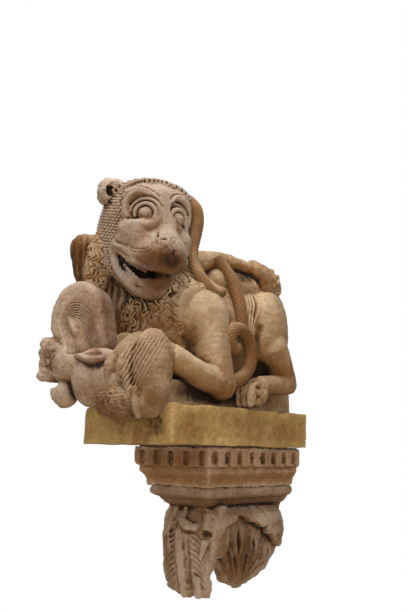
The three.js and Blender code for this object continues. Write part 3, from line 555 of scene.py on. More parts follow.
def shade(hexadecimal):
    """A colour written as in a paint list, turned to the linear values that Blender mixes."""
    parts = [int(hexadecimal[i : i + 2], 16) / 255 for i in (0, 2, 4)]
    return (*[p / 12.92 if p <= 0.04045 else ((p + 0.055) / 1.055) ** 2.4 for p in parts], 1.0)


print("a mid stone colour is", tuple(round(v, 3) for v in shade("9c7a57")))

# %% [markdown]
# ## Stone
# Every stone here is taken for limestone, weathered in different ways, with light and shade painted into
# its colour. It is pale on upward faces and ridges, which is painted light together with stone that rain
# has washed, brown where iron has bled out and, as painted warm shade, in the hollows and on faces that
# look down, and nearly black in the hollows, which is painted shade together with dirt. Each stone could
# have a node tree of its own, but the weather and the painted light are the same for all. So one node
# group works them out, and each stone gives it its own colours.

# %% Stone finish
stone_tree, stone_in, stone_out = new_group(
    "Weathered stone with painted light",
    "ShaderNodeTree",
    [
        ("Body", "Color", shade("9c7a57")),
        ("Pale", "Color", shade("b49a7e")),
        ("Stain", "Color", shade("96622c")),
        ("ShadeAndGrime", "Color", shade("2c1c0e")),
        ("Hollow", "Float", 0.0),
        ("Iron", "Float", 0.0),
        ("Soot", "Float", 0.0),
        ("Stain Amount", "Float", 0.5),
        ("ShadeAndGrime Amount", "Float", 1.0),
    ],
    [("Color", "Color"), ("Roughness", "Float"), ("Height", "Float")],
)
NOISE_ROUGHNESS = 0.62


def stone_noise(scale, detail, stretch=(1, 1, 1), shift=0.0):
    """A noise over the stone, shifted so that no two noises share their lumps."""
    place = node(stone_tree, "ShaderNodeTexCoord").outputs["Object"]
    values = {"Vector": place, "Scale": stretch, "Location": (shift, shift, shift)}
    moved_place = node(stone_tree, "ShaderNodeMapping", values).outputs[0]
    values = {"Vector": moved_place, "Scale": scale, "Detail": detail, "Roughness": NOISE_ROUGHNESS}
    return node(stone_tree, "ShaderNodeTexNoise", values).outputs["Fac"]


def stone_range(value, low, high, out_low=0.0, out_high=1.0):
    """A value eased from one range to another."""
    values = {"Value": value, "From Min": low, "From Max": high, "To Min": out_low, "To Max": out_high}
    return node(stone_tree, "ShaderNodeMapRange", values, interpolation_type="SMOOTHSTEP").outputs[0]


def stone_mix(factor, a, b, blend="MIX"):
    """Two colours mixed."""
    made = node(stone_tree, "ShaderNodeMix", data_type="RGBA", blend_type=blend)
    for key, value in (("Factor_Float", factor), ("A_Color", a), ("B_Color", b)):
        socket = next(s for s in made.inputs if s.identifier == key)
        if isinstance(value, bpy.types.NodeSocket):
            stone_tree.links.new(value, socket)
        else:
            socket.default_value = value
    return next(s for s in made.outputs if s.identifier == "Result_Color")


def stone_sum(a, b, share):
    """One value plus a share of another."""
    return maths(stone_tree, "ADD", a, maths(stone_tree, "MULTIPLY", b, share))


def stone_product(a, b, clamp=False):
    """Two values multiplied."""
    return maths(stone_tree, "MULTIPLY", a, b, clamp)


print("stone group takes", [socket.name for socket in stone_in if socket.name])

# %% [markdown]
# The colour is built up in layers. First come the body and the pale faces, which are painted light on
# upward faces and ridges together with washed stone. Then come the brown of the hollows and of faces that
# look down, which is painted warm shade together with bands of stain, and the brown of iron, then the fine
# grain, and last the near black of the hollows and of the painted patches, which is painted shade
# together with dirt. A painted image could hold the same, but it would have to be fitted to every carved
# form. Noises and the painted hollows fit by themselves.

# %% Stone colour and relief
broad = stone_noise(scale=5.0, detail=4.0)
bands = stone_noise(scale=3.4, detail=6.0, stretch=(1.6, 1.6, 0.7), shift=3.7)
mottle = stone_noise(scale=22.0, detail=5.0, shift=8.1)
grain = stone_noise(scale=150.0, detail=5.0)
pits = stone_noise(scale=60.0, detail=3.0, shift=1.3)
normal = node(stone_tree, "ShaderNodeNewGeometry").outputs["Normal"]
upward = node(stone_tree, "ShaderNodeSeparateXYZ", {0: normal}).outputs["Z"]

# Painted light: faces that look up, and ridges, turn pale, together with stone that rain has washed.
lit_and_washed = stone_sum(stone_sum(upward, broad, share=1.4), stone_in["Hollow"], share=-1.6)
colour = stone_mix(stone_range(lit_and_washed, low=0.2, high=1.5), stone_in["Body"], stone_in["Pale"])

# Painted warm shade: hollows and faces that look down turn brown, mixed with bands of stain.
warm_shade_and_bands = stone_sum(stone_sum(stone_in["Hollow"], upward, share=-0.3), bands, share=0.9)
warm_shade_and_bands = stone_product(stone_range(warm_shade_and_bands, low=0.3, high=0.9), 0.85)
colour = stone_mix(warm_shade_and_bands, colour, stone_in["Stain"])

patches = stone_sum(bands, mottle, share=0.25)
ragged_iron = stone_sum(stone_sum(stone_in["Iron"], mottle, share=0.7), bands, share=0.9)
bled = stone_range(ragged_iron, low=0.85, high=1.75, out_high=0.85)
stained = stone_product(stone_range(patches, low=0.52, high=0.76), stone_in["Stain Amount"])
stained = maths(stone_tree, "ADD", stained, bled, clamp=True)
colour = stone_mix(stained, colour, stone_in["Stain"])

fine_speck = stone_range(grain, low=0.3, high=0.7, out_low=0.8, out_high=1.15)
coarse_speck = stone_range(mottle, low=0.3, high=0.7, out_low=0.84, out_high=1.1)
speck = stone_product(fine_speck, coarse_speck)
speck_colour = node(stone_tree, "ShaderNodeCombineColor", {0: speck, 1: speck, 2: speck}).outputs[0]
colour = stone_mix(1.0, colour, speck_colour, blend="MULTIPLY")

# Painted shade: hollows and the patches of painted shade turn nearly black, with some dirt.
uneven = stone_sum(stone_sum(stone_in["Hollow"], pits, share=0.22), mottle, share=0.22)
sunk = stone_sum(uneven, stone_in["Soot"], share=0.62)
shaded_and_dirty = stone_product(stone_range(sunk, low=0.26, high=0.82), stone_in["ShadeAndGrime Amount"], clamp=True)
colour = stone_mix(shaded_and_dirty, colour, stone_in["ShadeAndGrime"])

roughness = stone_range(broad, low=0.3, high=0.7, out_low=0.84, out_high=0.97)
relief = stone_sum(stone_product(grain, 0.3), stone_sum(pits, mottle, share=0.8), share=0.6)
for socket, result in (("Color", colour), ("Roughness", roughness), ("Height", relief)):
    stone_tree.links.new(result, stone_out.inputs[socket])
print("stone group has", len(stone_tree.nodes), "nodes")

# %% [markdown]
# Each stone of the object gives the group its own colours. The face and the ram are greyer than the lion's
# body, and the slab is yellower. A colour could be picked for every place instead, but then nothing would
# tie the stones together.

# %% Stones of the object
BUMP = {"Strength": 0.7, "Distance": 0.004}  # of the grain and pits, in metres
STONE_SHEEN = 0.2


def stone_finish(name, **values):
    """A stone material: the group's colours for this stone, and a bump of its grain and pits."""
    made = bpy.data.materials.new(name)
    made.use_nodes = True
    tree = made.node_tree
    surface = tree.nodes["Principled BSDF"]
    group = node(tree, "ShaderNodeGroup", node_tree=stone_tree)
    for mark in ("Hollow", "Iron", "Soot"):
        painted = node(tree, "ShaderNodeAttribute", attribute_name=mark.lower()).outputs["Fac"]
        tree.links.new(painted, group.inputs[mark])
    for key, value in values.items():
        value = shade(value) if isinstance(value, str) else value
        group.inputs[key.replace("_", " ")].default_value = value
    tree.links.new(group.outputs["Color"], surface.inputs["Base Color"])
    tree.links.new(group.outputs["Roughness"], surface.inputs["Roughness"])
    bump = node(tree, "ShaderNodeBump", {"Height": group.outputs["Height"], **BUMP})
    tree.links.new(bump.outputs["Normal"], surface.inputs["Normal"])
    surface.inputs["Specular IOR Level"].default_value = STONE_SHEEN
    return made


LION_STONE = stone_finish("lion stone", Body="a57e52", Pale="c9ac89", Stain="7e5024", Stain_Amount=0.6)
FACE_STONE = stone_finish("face stone", Body="b39070", Pale="bea894", Stain="6b401a", Stain_Amount=0.15)
RAM_STONE = stone_finish("ram stone", Body="aa8868", Pale="c8ae98", Stain="80583a", Stain_Amount=0.5)
PAW_STONE = stone_finish("paw stone", Body="94704c", Pale="b09274", Stain="77502a", Stain_Amount=0.6)
SERPENT_STONE = stone_finish("serpent stone", Body="a2784e", Pale="c09e7a", Stain="7d5026", Stain_Amount=0.5)
SLAB_STONE = stone_finish("slab stone", Body="b48e52", Pale="caa66a", Stain="835626", Stain_Amount=0.5)
IMPOST_STONE = stone_finish("impost stone", Body="a67b54", Pale="c4a484", Stain="8a5e36", Stain_Amount=0.5)
LEAF_STONE = stone_finish("leaf stone", Body="9c795a", Pale="c0a48a", Stain="775230", Stain_Amount=0.6)
print("stones:", [m.name for m in bpy.data.materials if "stone" in m.name])

# %% [markdown]
# ## Set a piece
# A finished piece gets its material, rides on the one body of this object, and hides the stone of the
# imported model that it stands for. Every piece needs the same four lines, so a function says them.
# Another cuts away what would stand in the slab, because the paws, the ram and its fleece hang over its
# edge.

# %% Set a piece


def set_piece(obj, material, slot, *nodes):
    """Dresses an object, sets it on the body and hides the imported stones that it stands for."""
    obj.data.materials.clear()
    obj.data.materials.append(material)
    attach(obj, "root")
    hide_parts(*nodes)
    print(obj.name, len(obj.data.polygons), "faces")
    return obj


def carved_piece(name, block, material, slot, *nodes):
    """Skins a block and sets it as a piece."""
    obj = bpy.data.objects.new(name, carved_mesh(name, block))
    bpy.context.scene.collection.objects.link(obj)
    return set_piece(obj, material, slot, *nodes)


def cut_by_slab(block):
    """Takes away what would stand in the slab below, wherever the block's own frame lies."""
    p = block.points()
    axes, origin = block.place.axes, block.place.origin
    x, y, z = (sum(p[i] * float(axes[i][j]) for i in range(3)) + float(origin[j]) for j in range(3))
    slab_distance = np.maximum(np.maximum(np.abs(x) - SIDE, FRONT - y), z - SLAB_TOP)
    block.field = np.maximum(block.field, -slab_distance).astype(np.float32)


print("pieces ride on root")

# %% [markdown]
# ## Trunk
# The lion crouches. Its trunk, shoulders and legs are large plain swellings with soft valleys between them.
# They could be sculpted as one mesh, but balls and limbs with a wide blend give the same swellings from a
# few sizes that can be read and changed. The valleys that the carver cut sharp, in front of the thigh and
# along the ribs, are cut afterwards.

# %% Trunk masses
SIDES = (1, -1)  # the lion's left, then its right
TRUNK_MASSES = {
    "barrel": (at(0, 440, 285), (162, 365, 235), 30),
    "rump": (by(0, 140, 310), (168, 175, 228), 40),
    "back": (at(0, 470, 330), (120, 300, 222), 30),
    "loin": (by(24, 84, 345), (150, 140, 212), 30),
    "breast": (at(-6, 262, 300), (160, 125, 185), 30),
}
trunk = StoneBlock((-252, FRONT + 10, SLAB_TOP), (258, 0, SEAT + 640), cell=3.8)
trunk.add(brick(by(0, 350, 33), (150, 350, 48), corner=12))
trunk.lay(TRUNK_MASSES)
print("trunk masses:", ", ".join(TRUNK_MASSES))

# %% Legs
UPPER_LEGS = {
    "shoulder": (at(122, 250, 318), (72, 98, 122), 26),
    "thigh": (by(142, 140, 322), (70, 100, 158), 14),
}
SHANK = [by(164, 138, 235, 66), by(188, 88, 128, 44)]
CREASE = [(FRONT + 506, SEAT + 316), (FRONT + 504, SEAT + 250), (FRONT + 512, SEAT + 170)]
UNDER_THIGH = at(180, 520, 148)
HIND_FOOT = [by(190, 76, 104, 38), by(203, 262, 92, 33)]
HIND_PAW = {"hind paw": (by(207, 305, 58), (38, 60, 54), 12)}
HIND_TOE = [by(207, 330, 84, 15), by(207, 358, 56, 16), by(207, 362, 16, 14)]
for side in SIDES:
    trunk.lay(UPPER_LEGS, side)
    trunk.add(chain(mirrored(SHANK, side)), blend=14)
    crease = trunk.on_face(CREASE, lift=4, radius=11)
    trunk.carve(chain(mirrored(crease, side)), blend=14)
    trunk.carve(ball(*mirrored([UNDER_THIGH], side), (62, 62, 34)), blend=16)
    trunk.add(chain(mirrored(HIND_FOOT, side)), blend=12)
    trunk.lay(HIND_PAW, side)
    for across in (-25, 0, 25):
        trunk.add(path(mirrored(HIND_TOE, side, across), 4), blend=7)
LEFT_UPPER_ARM = [at(128, 250, 320, 76), at(166, 250, 180, 64), at(184, 268, 74, 52)]
LEFT_FOREARM = [at(184, 272, 72, 50), at(184, 170, 96, 45), at(168, 40, 150, 42)]
RIGHT_ARM = [at(-140, 215, 330, 84), at(-165, 150, 232, 66), at(-90, 60, 206, 54), at(4, -5, 190, 46)]
for arm, blend in ((LEFT_UPPER_ARM, 24), (LEFT_FOREARM, 14), (RIGHT_ARM, 20)):
    trunk.add(path(arm), blend)
print("trunk block has", trunk.field.size, "points")

# %% Skin folds, wear, stains and painted shade of the trunk
FOLD_WIDTH = 14.0
FOLD_DEPTH = 2.8
FOLD_HEIGHTS, FOLD_BACKS = (180, 250, 320, 450), (450, 458, 470, 516)
x, y, z = trunk.points()
height = z - SEAT
fold_at = y - FRONT - np.interp(height.ravel(), FOLD_HEIGHTS, FOLD_BACKS).reshape(height.shape)
folded = np.clip(1.6 - np.abs(fold_at) / 24, 0, 1) * rising(height, 190, 50) * falling(height, 478, 40)
trunk.field += FOLD_DEPTH * folded * rising(np.abs(x), 40, 40) * np.cos(2 * math.pi * fold_at / FOLD_WIDTH)
paw_near = patch((y, -330, 60), (height, 50, 74)) * rising(np.abs(x), 160, 20)
trunk.field += paw_near * (7 * trunk.noise(20, 14) + 6 * trunk.noise(11, 15))
trunk.wear((2.6, 60, 11), (1.3, 22, 12), (0.8, 10, 13))
# Painted shade: the soot marks under the belly, between the forelegs, below the ribs and under the thigh.
TRUNK_STAINS_AND_SHADE = {
    "soot under the belly": (at(150, 380, 10), (140, 330, 80), 0.75),
    "soot between the forelegs": (at(120, 120, 60), (140, 160, 110), 0.5),
    "iron on the ribs": (at(160, 455, 320), (90, 80, 170), 0.2),
    "soot below the ribs": (at(160, 480, 200), (70, 60, 130), 0.3),
    "soot under the thigh": (at(136, 525, 145), (64, 90, 60), 2.0),
    "iron on the hind foot": (by(190, 120, 160), (110, 130, 90), 0.6),
    "iron on the forearm": (at(190, 180, 70), (90, 160, 60), 0.6),
    "soot on the upper arm": (at(120, 190, 190), (90, 80, 120), 0.4),
    "iron on the upper arm": (at(120, 200, 200), (90, 90, 140), 0.5),
}
for side in SIDES:
    trunk.stain(TRUNK_STAINS_AND_SHADE, side)
carved_piece("lion_trunk", trunk, LION_STONE, "carved_stone", "lion_group")

# %% [markdown]
# ## Head
# The head is turned to the lion's left. In the part's own frame none of its lines would be straight, so it
# is carved upright in a frame of its own: forward, left, up. The face is smooth, with deep round eye
# sockets, a double line over the lips and a long open mouth. First come the large masses. The muzzle could
# be a ball too, but its outline is known best, so it is built from sections.

# %% Head masses
MIDDLE = 6.0  # the face sits a little to the left in its frame
HEAD_MASSES = {
    "skull": ((-30, MIDDLE, 20), (158, 152, 196), 8),
    "right brow": ((-10, MIDDLE - 70, 86), (112, 80, 104), 30),
    "right nape": ((-72, MIDDLE - 75, 6), (122, 98, 168), 24),
    "left brow": ((-10, MIDDLE + 70, 86), (112, 80, 104), 30),
    "left nape": ((-72, MIDDLE + 84, 6), (122, 98, 168), 24),
    "face": ((20, 3, -75), (135, 146, 108), 24),
}
head = StoneBlock((-205, -236, -272), (214, 222, 240), cell=2.5, place=HEAD)
head.lay(HEAD_MASSES)
print("head masses:", ", ".join(HEAD_MASSES))

# %% Muzzle
# Each row of the muzzle: forward, then the left and up of its middle, then its half width and half height
MUZZLE = [
    (0, 2, -62, 138, 112),
    (60, 2, -70, 130, 108),
    (100, 6, -80, 110, 104),
    (140, 13, -90, 88, 92),
    (168, 18, -98, 72, 80),
    (188, 20, -106, 54, 64),
    (198, 21, -110, 32, 40),
    (203, 21, -112, 4, 6),
]
MUZZLE_SLOPE = 0.8  # the true distance is less than that in a section's own plane
BRIDGE = [(68, 7, 118, 50), (86, 12, 70, 44), (112, 17, 14, 36), (138, 18, -24, 32), (154, 15, -54, 30)]
CHEEKS = {
    "right cheek": ((58, -72, -26), (72, 64, 60), 14),
    "left cheek": ((56, 96, -28), (62, 50, 58), 14),
}


def muzzle_distance(p):
    """Distance to the muzzle: oval sections between its rows, and a flat end."""
    forward, *columns = np.array(MUZZLE, float).T
    middle, level, wide, high = (np.interp(p[0], forward, column).astype(np.float32) for column in columns)
    near = np.sqrt(((p[1] - middle) / wide) ** 2 + ((p[2] - level) / high) ** 2)
    return np.maximum((near - 1) * np.minimum(wide, high) * MUZZLE_SLOPE, p[0] - MUZZLE[-1][0])


head.add(form(muzzle_distance, (0, -140, -200), (204, 144, 50)), blend=16)
head.add(path(BRIDGE), blend=22)
head.lay(CHEEKS)
print("the muzzle reaches", MUZZLE[-1][0], "mm forward")

# %% [markdown]
# The mouth is a long gap below a wavy upper lip, dark inside, with the jaw as a rim under it. A Boolean cut
# would leave sharp corners, so everything below the lip line is carved away softly. Then the jaw, the lips,
# the tongue and the gum are laid in, and a slit is cut between gum and lip.

# %% Mouth
LIP = [
    (-200, -40), (-150, -60), (-130, -78), (-110, -100), (-94, -120), (-75, -132), (-60, -144), (-29, -148),
    (3, -151), (30, -153), (58, -142), (83, -126), (111, -104), (140, -72), (200, -50),
]
LIP_SLOPE = 0.7  # the true distance to a sloping line is less than the drop to it
LIP_RADIUS = 9
LIP_EDGE = [
    (12, -136, -66), (60, -112, -92), (95, -96, -112), (120, -78, -124), (142, -58, -136), (158, -42, -142),
    (174, -20, -143), (186, 4, -145), (186, 30, -146), (178, 58, -134), (162, 82, -118), (120, 106, -98),
    (50, 138, -64),
]
MOUTH_BACK = -50.0
JAW_ROOT = [(-50, -108, -70, 46), (-30, -100, -112, 42), (-6, -76, -156, 36), (24, -44, -190, 32)]
JAW = [
    (4, -136, -74, 12), (10, -126, -102, 15), (18, -112, -140, 17), (38, -84, -176, 18), (62, -46, -211, 19),
    (78, -8, -222, 20), (88, 30, -212, 19), (94, 48, -188, 16), (84, 70, -150, 14), (50, 104, -112, 14),
    (20, 128, -80, 14),
]
LOWER_LIP = [(48, -68, -184, 13), (76, -28, -188, 17), (92, 10, -184, 18), (97, 42, -170, 15)]
MOUTH_FLOOR = [(-10, -60, -168, 26), (20, -30, -200, 34), (30, 20, -196, 38)]
TONGUE = [(0, -44, -172, 20), (48, -34, -188, 17), (84, -14, -180, 12)]
GUM = [
    (26, -96, -136, 11), (38, -84, -149, 13), (54, -68, -167, 14), (70, -46, -186, 14), (82, -18, -196, 14),
]
SLIT = [(40, -116, -86, 10), (60, -102, -108, 11), (84, -84, -130, 10), (110, -62, -148, 9)]


def mouth_distance(p):
    """Distance to the open mouth: all that lies below the lip line and before the throat."""
    lip = read_off(LIP, p[1]).astype(np.float32)
    return np.maximum((p[2] - lip) * LIP_SLOPE, MOUTH_BACK - p[0])


head.carve(form(mouth_distance, (MOUTH_BACK, -180, -272), (214, 170, -40)), blend=6)
head.carve(ball((44, -12, -142), (92, 58, 36)), blend=10)
head.add(path([(*row, LIP_RADIUS) for row in LIP_EDGE], 4), blend=7)
head.add(chain(JAW_ROOT), blend=16)
head.add(path(JAW), blend=5)
head.lay({"chin": ((62, 10, -208), (46, 52, 38), 10)})
head.add(path(LOWER_LIP), blend=10)
head.add(chain(MOUTH_FLOOR), blend=12)
head.add(path(TONGUE), blend=6)
head.lay({"throat": ((-44, -6, -128), (68, 104, 76), 8)})
head.add(path(GUM), blend=8)
head.lay({"corner of the mouth": ((10, -126, -80), (22, 16, 20), 8)})
for inward in (0, 22, 44, 66):
    head.carve(path([(f - inward, l + 0.4 * inward, u, radius) for f, l, u, radius in SLIT]), blend=4)
print("the lip line has", len(LIP), "points")

# %% Teeth
LOWER_TOOTH = (8, 5, 15)
UPPER_TOOTH = (7, 7, 12)
TOOTH_GROOVES = 7
for tooth in smooth_path([(38, -93, -137), (50, -82, -150), (66, -66, -168), (82, -44, -187)], 2):
    head.add(ball(tooth, LOWER_TOOTH), blend=2)
for number in range(TOOTH_GROOVES):
    l, u = -102 + 7.5 * number, -126 - 9.5 * number
    head.carve(chain(head.on_face([(l, u), (l + 3, u - 20)], lift=0.5, radius=2.8)), blend=2)
for tooth in smooth_path([(58, -92, -104), (96, -72, -126), (128, -46, -146)], 4):
    head.add(ball(tooth, UPPER_TOOTH), blend=3)
print("grooves between the lower teeth:", TOOTH_GROOVES)

# %% [markdown]
# The eyes bulge from deep round sockets, under a lid and two arches, and each looks a little outwards. The
# two differ in place and turn but not in kind, so one function carves either of them from a table.

# %% Eyes
UP = np.array((0.0, 0.0, 1.0))
EYE_BALL = 30.0
SOCKET = (30, 66, 66)
# Of the right eye (-1) and the left (1): its turn outwards in degrees, its middle, the middle of its socket,
# how far its arch stands out, and the ends of the ledge below it as (left, up)
EYES = {
    -1: (32, (91, -52, 54), (109, -78, 82), 9, ((-116, 20), (-38, 32))),
    1: (18, (91, 64, 54), (109, 88, 82), 0, ((46, 54), (112, 16))),
}


def eye_ring(middle, turn, radius, lift, thick, over=None):
    """A ring round an eye, in the plane that it faces. Given over, its upper half, run on by that angle."""
    start, end = (0.0, 2 * math.pi) if over is None else (-over, math.pi + over)
    out, across, up = turn
    spokes = [across * math.cos(a) + up * math.sin(a) for a in np.linspace(start, end, 15)]
    return path([(*(middle + out * lift + radius * spoke), thick) for spoke in spokes], 4)


def carve_eye(side):
    """Carves an eye into the head with its socket, ledge, lid and arches."""
    outwards, middle, socket_middle, arch, ((edge_l, edge_u), (end_l, end_u)) = EYES[side]
    middle = np.array(middle, float)
    angle = math.radians(outwards)
    out = np.array((math.cos(angle), side * math.sin(angle), 0.0))
    turn = np.array((out, np.cross(UP, out), UP))
    socket, low, high = ball(socket_middle, SOCKET, turn)[0]
    slope = (end_u - edge_u) / (end_l - edge_l)

    def above_ledge(p):
        return np.maximum(socket(p), edge_u + (p[1] - edge_l) * slope - p[2])

    arc = np.linspace(0.55, math.pi + 0.25, 15)
    arc = arc if side < 0 else math.pi - arc
    l, u = socket_middle[1:]
    rims = [[(l + r * math.cos(a), u + (r + 4) * math.sin(a)) for a in arc] for r in (60, 71)]
    brow = head.on_face(rims[0], lift=-3, radius=6)
    groove = head.on_face(rims[1], lift=1, radius=3)
    head.carve(form(above_ledge, low, high), blend=3)
    head.add(chain(brow), blend=6)
    head.carve(chain(groove), blend=4)
    head.add(form(above_ledge, low, high, ball(middle, EYE_BALL)), blend=2)
    head.add(eye_ring(middle, turn, radius=37, lift=13, thick=8, over=0.25), blend=2)
    head.carve(eye_ring(middle, turn, radius=47, lift=6, thick=4, over=0.1), blend=3)
    head.add(eye_ring(middle, turn, radius=56, lift=arch - 2, thick=6, over=-0.1), blend=5)
    head.carve(eye_ring(middle, turn, radius=66, lift=arch - 2, thick=3.5, over=-0.5), blend=5)
    head.carve(eye_ring(middle, turn, radius=17, lift=26, thick=3.2), blend=2)


for side in EYES:
    carve_eye(side)
print("eyes are", EYE_BALL, "mm in radius")

# %% Ledge and cheek lines
LEDGE = [(60, -122, 2, 12), (92, -104, 9, 14), (110, -74, 14, 14), (118, -46, 17, 12), (116, -26, 32, 10)]
EYE_CORNER = [(78, -110, 34, 6), (90, -98, 33, 7), (100, -84, 31, 4)]
CHEEK_LINE = [
    (-140, -50), (-132, -58), (-117, -66), (-98, -76), (-80, -79), (-64, -76), (-50, -64), (-32, -36),
    (-22, -12),
]
head.add(path(LEDGE), blend=24)
head.carve(path(EYE_CORNER), blend=4)
for lower in (0, 11):
    right_line = [(l, u - lower * min(1, (l + 142) / 40)) for l, u in CHEEK_LINE]
    left_line = [(30 - l, u - lower) for l, u in CHEEK_LINE]
    for line in (right_line, left_line):
        head.carve(chain(head.on_face(line, lift=1.5, radius=3.4)), blend=4)
print("cheek lines have", len(CHEEK_LINE), "points each")

# %% [markdown]
# A plait runs over the brow, and behind it a net of small diamonds covers the sides of the head. The net
# could be thousands of small pieces set on the head. As a pattern in the distances it needs none, and it
# follows every swelling.

# %% Plait, net and ears
NET_WIDTH = 20.0
NET_HEIGHT = 22.0
NET_LEAN = 0.15
NET_DEPTH, NET_SLOPE = 5.6, 24
PLAIT = [
    (38, -139, 132, 10), (45, -117, 147, 11), (48, -99, 159, 12), (50, -79, 170, 12), (50, -57, 179, 12),
    (50, -20, 188, 12), (50, 10, 190, 12), (50, 49, 187, 12), (46, 95, 176, 12), (40, 130, 158, 11),
]
# How far forward the net comes: up, then forward
RIM = [
    (-260, -20), (-190, -10), (-150, -2), (-107, 4), (-70, 12), (-40, 32), (0, 52), (58, 56), (136, 52),
    (165, 44), (240, 40),
]
EARS = {
    "right ear": ((-48, -158, 138), (36, 38, 52), 8),
    "root of the right ear": ((-36, -130, 164), (32, 30, 28), 10),
    "left ear": ((-48, 160, 132), (34, 34, 46), 8),
}


def net_relief(around, girth, f, u):
    """How deep the net is cut, wound round a head of this girth."""
    a = around * (girth / NET_WIDTH)
    b = (u + NET_LEAN * f) / NET_HEIGHT
    weave = np.minimum(np.abs((a + b) % 1 - 0.5), np.abs((a - b) % 1 - 0.5))
    return NET_DEPTH - NET_SLOPE * weave


head.add(path(PLAIT), blend=6)
f, l, u = head.points()
covered = falling(f, read_off(RIM, u).astype(np.float32), 6) * rising(u, -190, 40)
head.field += covered * net_relief(np.arctan2(l - MIDDLE, f), 172, f, u)
for row in smooth_path(PLAIT, 2):
    head.carve(ball((row[0] + 8, row[1], row[2] + 3), (9, 5, 8)), blend=2)
head.lay(EARS)
head.carve(ball((-14, -160, 142), (20, 13, 24)), blend=6)
print("net of", NET_WIDTH, "by", NET_HEIGHT, "mm")

# %% Wear, stains and painted shade of the head
worn_ear = patch((l, -152, 62), (u, 142, 72)) * falling(f, 20, 20)
head.field += worn_ear * (5 * head.noise(16, 26) + 5 * head.noise(9, 27))
nose = patch((l, 8, 52), (u, -62, 46)) * rising(f, 120, 24)
head.field += nose * (4 + 7 * head.noise(19, 24) + 7 * head.noise(9, 25))
head.wear((1.4, 40, 21), (0.9, 14, 22), (0.5, 7, 23))
# Painted shade: the soot marks in the mouth, in its corner and under the chin.
HEAD_STAINS_AND_SHADE = {
    "iron on the muzzle": ((172, 14, -130), (130, 120, 100), 1.1),
    "iron on the right lip": ((128, -50, -112), (80, 66, 54), 0.45),
    "soot on the upper lip": ((176, 6, -124), (110, 90, 60), 0.8),
    "soot on the nose": ((180, 20, -80), (70, 60, 60), 0.3),
    "iron on the chin": ((80, 10, -215), (130, 130, 90), 0.65),
    "soot on the chin": ((80, 0, -215), (110, 110, 60), 0.3),
    "soot in the corner of the mouth": ((10, -96, -112), (54, 50, 50), 0.9),
    "soot in the mouth": ((-10, -20, -140), (110, 110, 56), 1.9),
    "soot on the right ear": ((-50, -150, 140), (60, 70, 70), 0.7),
}
head.stain(HEAD_STAINS_AND_SHADE)
carved_piece("lion_head", head, FACE_STONE, "carved_stone", "lion_group")

# %% [markdown]
# ## Mane
# The mane starts behind the ears, with some of the net still on it, and hangs in wavy locks down to the
# chest. Each lock could be swept along a line of its own, but they lie side by side without gaps. So they
# are a pattern of ridges that run down the mass, bent by a wave and by noise, and worked into the
# distances.

# %% Mane masses
RIGHT_FALL = [(-74, -128, -10, 46), (-80, -142, -75, 52), (-85, -150, -150, 50), (-80, -152, -196, 38)]
LEFT_FALL = [(-70, 130, 40, 50), (-70, 135, -60, 58), (-58, 112, -170, 70)]
NAPE = [(-115, 0, -90, 112)]
NECK = [at(-45, 178, 470, 122), at(-20, 230, 400, 142), at(-10, 242, 300, 150)]
RIGHT_CHEST = [at(-80, 150, 330, 108), at(-30, 190, 290, 128)]
LEFT_CHEST = [at(20, 205, 330, 118), at(96, 212, 360, 92)]
LEFT_EDGE = [at(16, 190, 462, 52), at(49, 199, 434, 52), at(92, 204, 392, 52), at(126, 206, 346, 50)]
mane = StoneBlock((-235, -262, -455), (150, 262, 175), cell=2.9, place=HEAD)
mane.lay({"crown": ((-105, 10, -10), (96, 152, 165), 20)})
mane.add(chain(RIGHT_FALL), blend=24)
mane.add(chain(LEFT_FALL), blend=24)
mane.add(path(np.vstack([NAPE, HEAD.into(NECK)])), blend=30)
mane.add(chain(HEAD.into(RIGHT_CHEST)), blend=20)
mane.add(chain(HEAD.into(LEFT_CHEST)), blend=20)
mane.add(path(HEAD.into(LEFT_EDGE)), blend=14)
print("mane block has", mane.field.size, "points")

# %% Locks of the mane
LOCK_WIDTH = 12.5
LOCK_DEPTH = 12.0
LOCK_GIRTH = 160
SWAY_LENGTH = 40.0
NET_FOOT = -68.0  # here the net ends and the locks hang out from under it
f, l, u = mane.points()
# The axis of the locks leans back below the jaw
around = np.arctan2(l, f + 60 - 0.55 * np.minimum(u + 100, 0))
wave = 4.5 * np.sin(2 * math.pi * u / SWAY_LENGTH + 5 * mane.noise(50, 35))
sway = wave + 9 * mane.noise(52, 31) + 7 * mane.noise(18, 36)
lock = np.abs(np.sin((around * LOCK_GIRTH + sway) * (math.pi / LOCK_WIDTH)))
netted = rising(u - NET_FOOT - 14 * mane.noise(30, 37), 0, 10) * falling(l, -40, 20)
lock_depth = LOCK_DEPTH * np.clip(1 + (u + 190) / 160, 0.5, 1)
mane.field += netted * net_relief(around, 170, f, u) - (1 - netted) * lock_depth * (lock - 0.6)
mane.carve(ball((84, -20, -148), (100, 80, 48)), blend=8)
mane.wear((3, 30, 32), (1.6, 14, 33), (1.2, 8, 34))
print("locks are", LOCK_WIDTH, "mm wide")

# %% Stains and painted shade of the mane


def in_head(*place):
    """A place measured as at() does, in the head's frame."""
    return HEAD.into([at(*place)])[0]


# Painted shade: the soot marks under the jaw, on the throat and on the chest below them.
MANE_STAINS_AND_SHADE = {
    "iron on the chest": (in_head(-40, 90, 340), (150, 150, 150), 0.5),
    "iron on the left edge": (in_head(80, 110, 290), (90, 90, 90), 0.4),
    "iron on the right chest": (in_head(-120, 60, 380), (130, 130, 130), 0.2),
    "soot on the right chest": (in_head(-110, 70, 350), (170, 170, 150), 0.6),
    "soot under the jaw": (in_head(-70, 70, 430), (110, 110, 80), 0.55),
    "soot on the right fall": ((-80, -165, -120), (80, 70, 120), 0.35),
    "soot on the throat": (in_head(10, 100, 400), (120, 90, 70), 0.35),
}
mane.stain(MANE_STAINS_AND_SHADE)
carved_piece("lion_mane", mane, LION_STONE, "carved_stone", "lion_group")

# %% [markdown]
# ## Forepaws
# The left paw hangs over the front edge of the slab, its back cut with long strands, and the right one
# closes on the ram. They could be part of the trunk, but the strands need a finer grid, so the paws are a
# block of their own.

